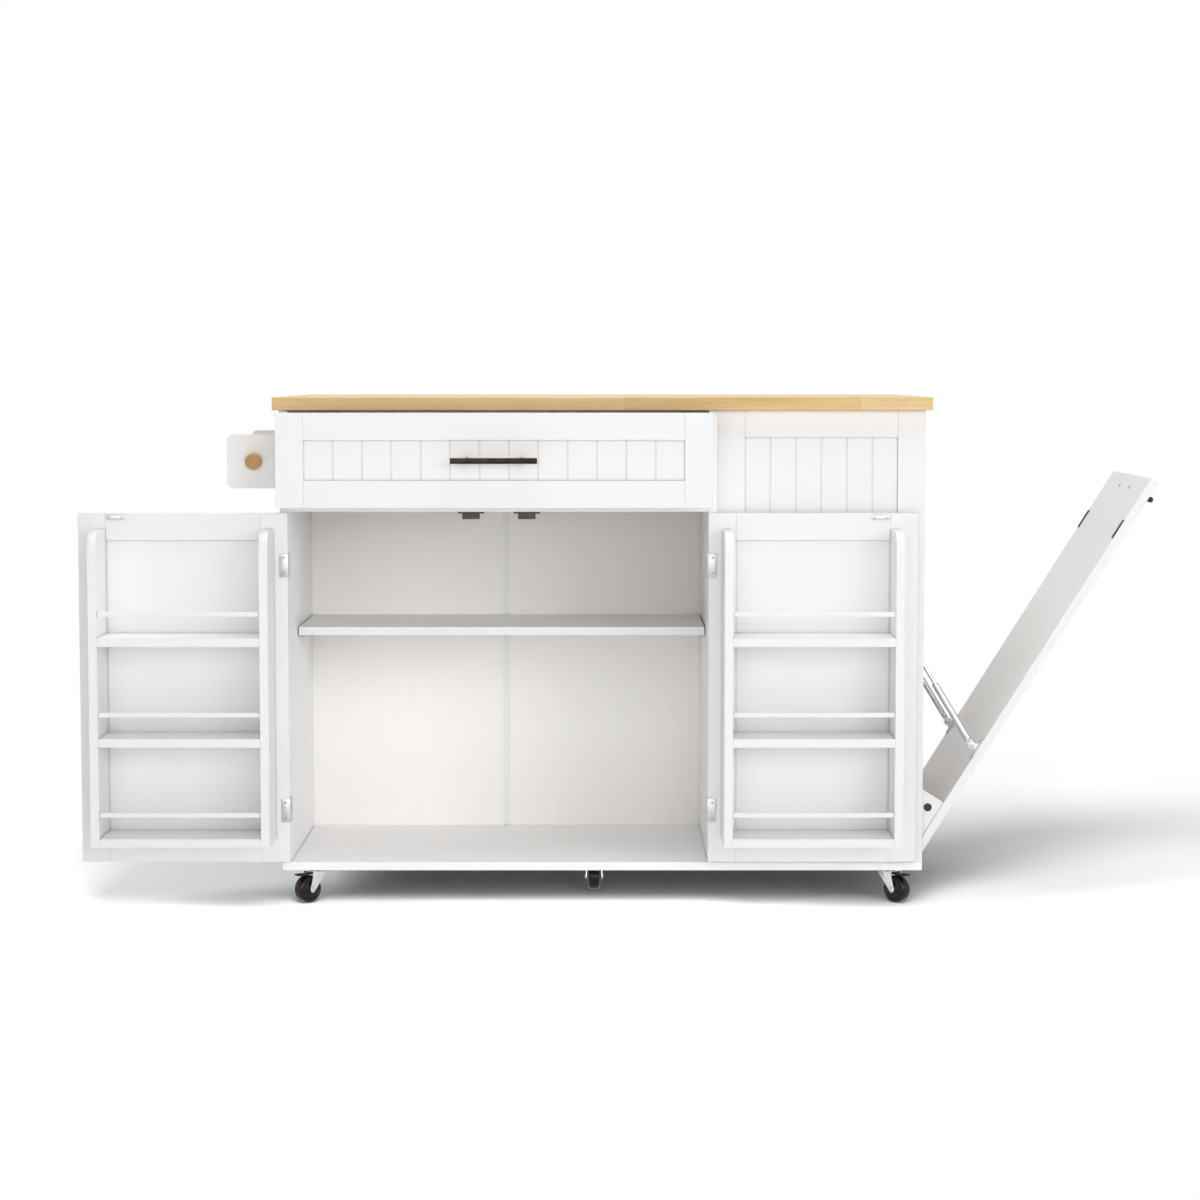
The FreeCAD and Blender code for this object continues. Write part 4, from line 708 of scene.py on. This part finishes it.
tubes = bmesh.new()
rods = bmesh.new()
for y in (STRUT_INSET, BIN_DOOR_WIDTH - STRUT_INSET):
    strut = in_mm @ at(STRUT_FOOT[0], y, STRUT_FOOT[1])
    strut = strut @ Matrix.Rotation(radians(STRUT_LEAN), 4, (0, -1, 0))
    ring(tubes, strut @ LIES_IN_Y, 8)
    slab(tubes, [(-5, 5.8), (5, 5.8), (5.6, 10.4), (-5.6, 10.4)], -2.6, 2.6, strut)
    turned(tubes, [(10, 0), (10, 4.4), (11.4, 5.7), (12.6, 6), (17, 6), (17.5, 5.6), (18.5, 5.6),
                   (19, 6), (122.5, 6), (123, 5.55), (124.2, 5.55), (124.7, 6), (128.2, 6),
                   (130, 5.4), (131, 4.4), (131, 3.4), (55, 3.4), (55, 0)], strut, 32)
    turned(rods, [(122.5, 0), (122.5, 3), (236, 3), (236.6, 2.5), (238, 2.5), (238.4, 3),
                  (243.6, 3), (243.6, 0)], strut, 32)
    ring(rods, strut @ at(0, 0, 250) @ LIES_IN_Y, 7)
finished("strut_tube_bodies", tubes, chrome, "strut_tubes", ("strut_tubes",))
finished("strut_piston_rods", rods, chrome, "strut_rods", ("strut_rods",))

# Their upper anchors: a screwed foot on each wall of the bay and a turned stud.
anchors = bmesh.new()
for edge in (in_mm, in_mm @ MIRRORED):
    foot_at = edge @ at(ANCHOR[0], 16, ANCHOR[1])
    slab(anchors, plate_outline(*STRUT_PLATE), -1, 1, foot_at)
    for z in (-14, 14):
        cabinet_screws.append((foot_at, (0, 1, z), (0, 1, 0), 2.3))
    turned(anchors, [(17, 0), (17, 6), (26.4, 6), (27.4, 5), (27.4, 3.4), (28.2, 2.8), (28.2, 0)],
           edge @ at(ANCHOR[0], 0, ANCHOR[1]) @ LIES_IN_Y, 32)
finished("strut_wall_anchors", anchors, zinc, "cabinet", ("strut_anchors",), 0.2)

# ---------------------------------------------------------------------------------------------
# Catches of the bin door and the tray's cam covers. Black ABS mouldings: each catch holds a
# magnet with steel poles; each cover is a shallow cap with a coin slot over a cam fastener.
black_abs = moulded_plastic("black_abs", "1E1C1B", "161514", 0.42)
latches = bmesh.new()
latch_poles = bmesh.new()
for middle in (25, 396):
    latch_at = in_mm @ at(543, middle, 778.2) @ ACROSS
    slab(latches, plate_outline(20, 38, 3), -14.4, 0, latch_at)
    for z in (-11, 7.5):
        block(latch_poles, (-6, -15, z), (6, -13, z + 3.5), latch_at)
finished("bin_catch_housings", latches, black_abs, "cabinet",
         ("bin_catches",), 0.4)
finished("bin_catch_poles", latch_poles, phosphated, "cabinet")
caps = bmesh.new()
cap_low, cap_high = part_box("tray_cam_caps")
for y, way in ((cap_low.y, 1), (cap_high.y, -1)):
    cap_at = Vector(((cap_low.x + cap_high.x) / 2, y, (cap_low.z + cap_high.z) / 2)) / MM
    cap_at = at(*cap_at) @ Matrix.Diagonal((1, way, 1, 1)) @ LIES_IN_Y
    turned(caps, [(1.0, 0), (1.0, 7.2), (0.4, 7.2), (0, 6.6), (0, 5.3), (0.5, 5), (0.5, 0)],
           cap_at, 40)
    block(caps, (-4.4, -1.1, 0.1), (4.4, 1.1, 0.5), cap_at @ Matrix.Rotation(0.5, 4, "Z"))
finished("tray_cam_covers", caps, black_abs, "bin_door", ("tray_cam_caps",))

# ---------------------------------------------------------------------------------------------
# Drawer runners. Roll-formed steel channels, one on the bay's side and one on the drawer, that
# open towards each other round a row of balls; zinc plated, with an end stop and rivets.
rails = bmesh.new()
slides = bmesh.new()
channel = [(0, 0), (6.2, 0), (6.2, 6), (5, 6), (5, 1.2), (1.2, 1.2), (1.2, 34.8), (5, 34.8),
           (5, 30), (6.2, 30), (6.2, 36), (0, 36)]
RUNNER_LENGTH = 360
RAIL_START = 7.5
SLIDE_START = -54.5
for x, way in ((-560, 1), (190, -1)):
    side = in_mm @ at(x, 0, 767) @ Matrix.Diagonal((way, 1, 1, 1))
    slab(rails, channel, RAIL_START, RAIL_START + RUNNER_LENGTH, side)
    block(rails, (1.2, 361, 8), (3, 366, 28), side)
    facing = side @ at(13, 0, 0) @ Matrix.Diagonal((-1, 1, 1, 1))
    slab(slides, channel, SLIDE_START, SLIDE_START + RUNNER_LENGTH, facing)
    block(slides, (1.2, -53, 8), (3, -48, 28), facing)
finished("drawer_rail_channels", rails, zinc, "cabinet",
         ("drawer_runner_rails",), 0.25)
finished("drawer_slide_channels", slides, zinc, "drawer",
         ("drawer_runner_slides",), 0.25)

# ---------------------------------------------------------------------------------------------
# Leaf hinges, ears, stays and tracks. Pressed zinc plated steel under the worktop and the leaf:
# screwed flaps on a long pin, ears that carry the stays' pins, and slotted tracks at the back.
fixed = bmesh.new()
moving = bmesh.new()
fixed_screws = []
moving_screws = []
LEAF_PIN = (481, 889)
FLAP = (0.5, 2)
for x in (-400, 0, 400):
    line = in_mm @ at(x, *LEAF_PIN)
    for mesh, way, spots in ((fixed, -1, fixed_screws), (moving, 1, moving_screws)):
        side = line @ Matrix.Diagonal((1, way, 1, 1))
        outline = [(-25, -2.3), (25, -2.3)] + arc((21, -32), 4, 0, -90, 5)
        outline += arc((-21, -32), 4, -90, -180, 5)
        slab(mesh, outline, *FLAP, side @ FLAT)
        for hole_x, hole_y in ((-17, 13), (0, 26), (17, 13)):
            spots.append((side, (hole_x, hole_y, FLAP[0]), (0, 0, -1), 2.6))
    lies_in_x = line @ Matrix.Rotation(pi / 2, 4, "Y")
    for low, high in ((-25, -8.5), (8.5, 25)):
        knuckle(fixed, lies_in_x, low, high, 2)
        block(fixed, (low, -2.3, FLAP[0]), (high, 0, FLAP[1]), line)
    knuckle(moving, lies_in_x, -8.1, 8.1, 2)
    block(moving, (-8.1, 0, FLAP[0]), (8.1, 2.3, FLAP[1]), line)
for x, way in ((-574, 1), (574, -1)):
    ear_at = in_mm @ at(x, 571, 877) @ Matrix.Diagonal((way, 1, 1, 1))
    ear = [(-12, 14), (-12, 8)] + arc((0, 0), 6, 160, 380, 12) + [(12, 8), (12, 14)]
    slab(moving, ear, -2, 0, ear_at @ ACROSS)
    slab(moving, plate_outline(12, 24, 2), 12, 14, ear_at @ at(6, 0, 0) @ FLAT)
    for y in (-7, 7):
        moving_screws.append((ear_at, (7.5, y, 12), (0, 0, -1), 2.2))
    lies_in_x = ear_at @ Matrix.Rotation(pi / 2, 4, "Y")
    turned(moving, [(2, 0), (2, 2), (4.8, 2), (4.8, 3.2), (5.4, 2.8), (5.6, 0)], lies_in_x, 20)
    track_side = in_mm @ Matrix.Diagonal((way, 1, 1, 1))
    for z in (600, 660, 720):
        fixed_screws.append((track_side, (-566, 438, z), (0, 1, 0), 2.3))
finished("leaf_hinge_fixed_sides", fixed, zinc, "cabinet",
         ("leaf_hinge_fixed_flaps",), 0.2)
finished("leaf_hinge_moving_sides", moving, zinc, "drop_leaf",
         ("leaf_fittings",), 0.2)
fasteners("leaf_hinge_screws", moving_screws, "drop_leaf")
fasteners("cabinet_screws", cabinet_screws + fixed_screws, "cabinet", height=0.3)
dress(zinc, "leaf_stays", "stay_tracks", "shelf_pegs")
ease(0.3, "leaf_stays", "stay_tracks")

# ---------------------------------------------------------------------------------------------
# Casters. Swivel forks pressed from sheet steel and chrome plated, on a ball race under a screwed
# plate; moulded wheels with a rounded tread; a stamped brake pedal on the two front ones.
tread = moulded_plastic("brown_black_polyurethane", "1E140F", "150E0A", 0.2, 0.28)
# Each caster's name, place under the cabinet and heading in degrees.
SPOTS = (
    ("front_left", -521, 50, -135),
    ("front_right", 521, 50, -45),
    ("middle", -15, 190, -90),
    ("rear_left", -521, 386, -150),
    ("rear_right", 521, 386, -20),
)
MOUNT = 65
AXLE = (18, -40)
HOLE_REACH = 14.5
RACE_BALLS = 26
plates = bmesh.new()
plate_screws = []
for tag, x, y, yaw in SPOTS:
    square = in_mm @ at(x, y, MOUNT)
    caster = square @ Matrix.Rotation(radians(yaw), 4, "Z")
    axle = caster @ at(AXLE[0], 0, AXLE[1]) @ LIES_IN_Y
    # Plate with its four screws.
    slab(plates, plate_outline(40, 40, 4), -2, 0, square @ FLAT)
    for dx in (-HOLE_REACH, HOLE_REACH):
        for dy in (-HOLE_REACH, HOLE_REACH):
            plate_screws.append((square, (dx, dy, -2), (0, 0, -1), 2.6))
    # Fork: race cup, crown and two legs that narrow to the axle.
    fork = bmesh.new()
    turned(fork, [(-7.2, 0), (-7.2, 13.5), (-6.4, 15.2), (-5.2, 16), (-3.4, 16), (-2.6, 15.4),
                  (-2.3, 13.6), (-2.3, 0)], caster, 48)
    slab(fork, plate_outline(28, 30, 4), -9, -7, caster @ at(2, 0, 0) @ FLAT)
    leg = [(16, -7.4), (16, -12)] + arc(AXLE, 5.5, 10, -150, 12) + [(-12, -13), (-12, -7.4)]
    for low, high in ((-15, -13), (13, 15)):
        slab(fork, leg, low, high, caster)
    turned(fork, [(-17, 0), (-17, 1.5), (-15.9, 1.7), (-15.9, 2.2), (-17, 2.6), (-17, 3.9),
                  (-16.4, 4.5), (-15, 4.5), (-15, 2.5), (15, 2.5), (15, 4.5), (16.4, 4.5),
                  (17, 3.9), (17, 2.6), (15.9, 2.2), (15.9, 1.7), (17, 1.5), (17, 0)], axle, 32)
    finished(f"caster_fork_pressed_{tag}", fork, chrome, f"caster_fork_{tag}",
             (f"caster_fork_{tag}",), 0.25)
    # Balls of the race, seen in the gap above the cup.
    balls = []
    for number in range(RACE_BALLS):
        turn = Matrix.Rotation(2 * pi * number / RACE_BALLS, 4, "Z")
        balls.append((caster @ turn, (13.9, 0, -2.9), (1, 0, 0), 1.4))
    fasteners(f"caster_balls_{tag}", balls, f"caster_fork_{tag}", chrome, 0.9,
              -0.2)
    # Wheel: dished sides, a hub and a round-shouldered tread, bored for the axle.
    side = [(-12.5, 2.9), (-12.5, 8.6), (-11.9, 9.6), (-10.2, 10), (-9.6, 11), (-9.4, 16.5),
            (-10.4, 17.6)] + arc((-5, 19), 6, 180, 90, 8)
    profile = side + [(-height, radius) for height, radius in reversed(side)] + [side[0]]
    wheel = bmesh.new()
    turned(wheel, profile, axle, 64)
    finished(f"caster_wheel_moulded_{tag}", wheel, tread, f"caster_wheel_{tag}",
             (f"caster_wheel_{tag}",), smooth=28)
    if tag.startswith("front"):
        lever = bmesh.new()
        pedal = [(4, -7), (20, -7), (27, -8.6)] + arc((40.5, -5.5), 3.5, -90, 0, 5)
        pedal += arc((40.5, 5.5), 3.5, 0, 90, 5) + [(27, 8.6), (20, 7), (4, 7)]
        slab(lever, pedal, -13.3, -11.5, caster @ FLAT)
        for x in (32, 35.5, 39):
            block(lever, (x, -6, -11.5), (x + 1.4, 6, -11), caster)
        turned(lever, [(-12.8, 0), (-12.8, 1.5), (12.8, 1.5), (12.8, 0)],
               caster @ at(7, 0, -12.3) @ LIES_IN_Y, 16)
        finished(f"brake_pedal_{tag}", lever, black_steel, f"brake_lever_{tag}",
                 (f"brake_lever_{tag}",), 0.25)
finished("caster_top_plates", plates, zinc, "cabinet", ("caster_plates",), 0.25)
fasteners("caster_plate_screws", plate_screws, "cabinet")

# ---------------------------------------------------------------------------------------------
# Studio: a pale floor that stays white to the camera but keeps the island's shadow, a white
# surround, a broad key light and weaker fills.
CAMERA_ALBEDO = 0.56
material, tree, out = new_material("studio_floor")
rays = add(tree, "ShaderNodeLightPath")
tone = add(tree, "ShaderNodeMapRange",
           {"Value": rays.outputs["Is Camera Ray"], "To Min": 0.3, "To Max": CAMERA_ALBEDO})
matt = add(tree, "ShaderNodeBsdfDiffuse", {"Color": tone.outputs["Result"]})
white = add(tree, "ShaderNodeEmission", {"Color": (1, 1, 1, 1), "Strength": 1.0})
# Away from the island the floor runs into the white surround, for the camera and for metal.
place = add(tree, "ShaderNodeTexCoord").outputs["Object"]
oval = add(tree, "ShaderNodeMapping", {"Vector": place, "Scale": (0.6, 1, 1)})
reach = add(tree, "ShaderNodeVectorMath", {0: oval.outputs["Vector"]}, operation="LENGTH")
away = add(tree, "ShaderNodeMapRange",
           {"Value": reach.outputs["Value"], "From Min": 1.25, "From Max": 2.1},
           interpolation_type="SMOOTHSTEP")
direct = add(tree, "ShaderNodeMath",
             {0: rays.outputs["Is Camera Ray"], 1: rays.outputs["Is Glossy Ray"]},
             operation="MAXIMUM")
fade = add(tree, "ShaderNodeMath", {0: away.outputs["Result"], 1: direct.outputs["Value"]},
           operation="MULTIPLY")
mirrored = add(tree, "ShaderNodeMath",
               {0: rays.outputs["Is Glossy Ray"], 1: 0.75, 2: fade.outputs["Value"]},
               operation="MULTIPLY_ADD", use_clamp=True)
seen = add(tree, "ShaderNodeMixShader",
           {0: mirrored.outputs["Value"], 1: matt.outputs["BSDF"], 2: white.outputs["Emission"]})
tree.links.new(seen.outputs["Shader"], out.inputs["Surface"])
mesh = bmesh.new()
bmesh.ops.create_grid(mesh, x_segments=1, y_segments=1, size=12)
data = bpy.data.meshes.new("studio_floor")
mesh.to_mesh(data)
mesh.free()
data.materials.append(material)
floor = bpy.data.objects.new("studio_floor", data)
bpy.context.scene.collection.objects.link(floor)
floor_alone = bpy.data.collections.new("floor_alone")
floor_alone.objects.link(floor)
interior = bpy.data.collections.new("interior")
for node in ("side_panel_left", "partition_panel", "bottom_panel", "back_panels",
             "back_joint_strip"):
    interior.objects.link(NODES[node])
all_but_floor = bpy.data.collections.new("all_but_floor")
all_but_floor.objects.link(floor)
all_but_floor.collection_objects[0].light_linking.link_state = "EXCLUDE"

world = bpy.data.worlds.new("studio_surround")
bpy.context.scene.world = world
world.use_nodes = True
tree = world.node_tree
tree.nodes.clear()
rays = add(tree, "ShaderNodeLightPath")
direct = add(tree, "ShaderNodeMath",
             {0: rays.outputs["Is Camera Ray"], 1: rays.outputs["Is Glossy Ray"]},
             operation="MAXIMUM")
# What metal mirrors is white round about and darkens towards the studio's ceiling.
way = add(tree, "ShaderNodeTexCoord").outputs["Generated"]
rise = add(tree, "ShaderNodeSeparateXYZ", {0: way})
ceiling = add(tree, "ShaderNodeMapRange",
              {"Value": rise.outputs["Z"], "From Min": 0.3, "From Max": 0.75, "To Min": 1.0,
               "To Max": 0.2}, interpolation_type="SMOOTHSTEP")
shown = add(tree, "ShaderNodeMath",
            {0: rays.outputs["Is Camera Ray"], 1: ceiling.outputs["Result"]},
            operation="MAXIMUM")
strength = add(tree, "ShaderNodeMapRange",
               {"Value": direct.outputs["Value"], "To Min": 0.252,
                "To Max": shown.outputs["Value"]})
sky = add(tree, "ShaderNodeBackground",
          {"Color": (1, 1, 1, 1), "Strength": strength.outputs["Result"]})
out = add(tree, "ShaderNodeOutputWorld", {"Surface": sky.outputs["Background"]})


def lamp(name, kind, place, aim, power, receivers=None, **settings):
    """A softbox or a far soft light at a place in metres, aimed at a point."""
    data = bpy.data.lights.new(name, kind)
    data.energy = power
    for key, value in settings.items():
        setattr(data, key, value)
    holder = bpy.data.objects.new(name, data)
    bpy.context.scene.collection.objects.link(holder)
    holder.location = place
    holder.rotation_euler = (Vector(aim) - Vector(place)).to_track_quat("-Z", "Y").to_euler()
    if receivers:
        holder.light_linking.receiver_collection = receivers


MIDDLE = (0, 0, 0.5)
lamp("front_softbox", "AREA", (0, -6, 1.6), MIDDLE, 97, shape="RECTANGLE", size=6, size_y=3)
lamp("right_softbox", "AREA", (3.2, -4.5, 1.8), MIDDLE, 44, size=2)
lamp("overhead_softbox", "AREA", (0, -0.3, 4), MIDDLE, 92, size=3)
lamp("rear_softbox", "AREA", (3.8, 4.6, 2.0), MIDDLE, 80, all_but_floor, size=4.5)
lamp("interior_softbox", "AREA", (0.2, -3, 2.2), (0, 0, 0.3), 11, interior, size=0.8)
# Two lights for the floor alone give it the photograph's white and its shadow on the right.
lamp("floor_sun", "SUN", (-3.9, -1.8, 3.0), MIDDLE, 4.1, floor_alone, angle=0.5)
lamp("floor_softbox", "AREA", (0, -4.2, 3.4), MIDDLE, 530, floor_alone, size=2.5)

# The camera stands in front of the cabinet, level with the worktop, and looks down slightly.
PIXELS = 1200
FOCAL_PIXELS = 2857
PITCH = 4.565
camera = bpy.data.cameras.new("camera")
camera.sensor_width = 36
camera.lens = FOCAL_PIXELS / PIXELS * camera.sensor_width
holder = bpy.data.objects.new("camera", camera)
bpy.context.scene.collection.objects.link(holder)
holder.location = (in_mm @ Vector((-4.1, -5085, 958.9))) * MM
holder.rotation_euler = (radians(90 - PITCH), 0, 0)
bpy.context.scene.camera = holder
bpy.context.scene.view_settings.view_transform = "Standard"
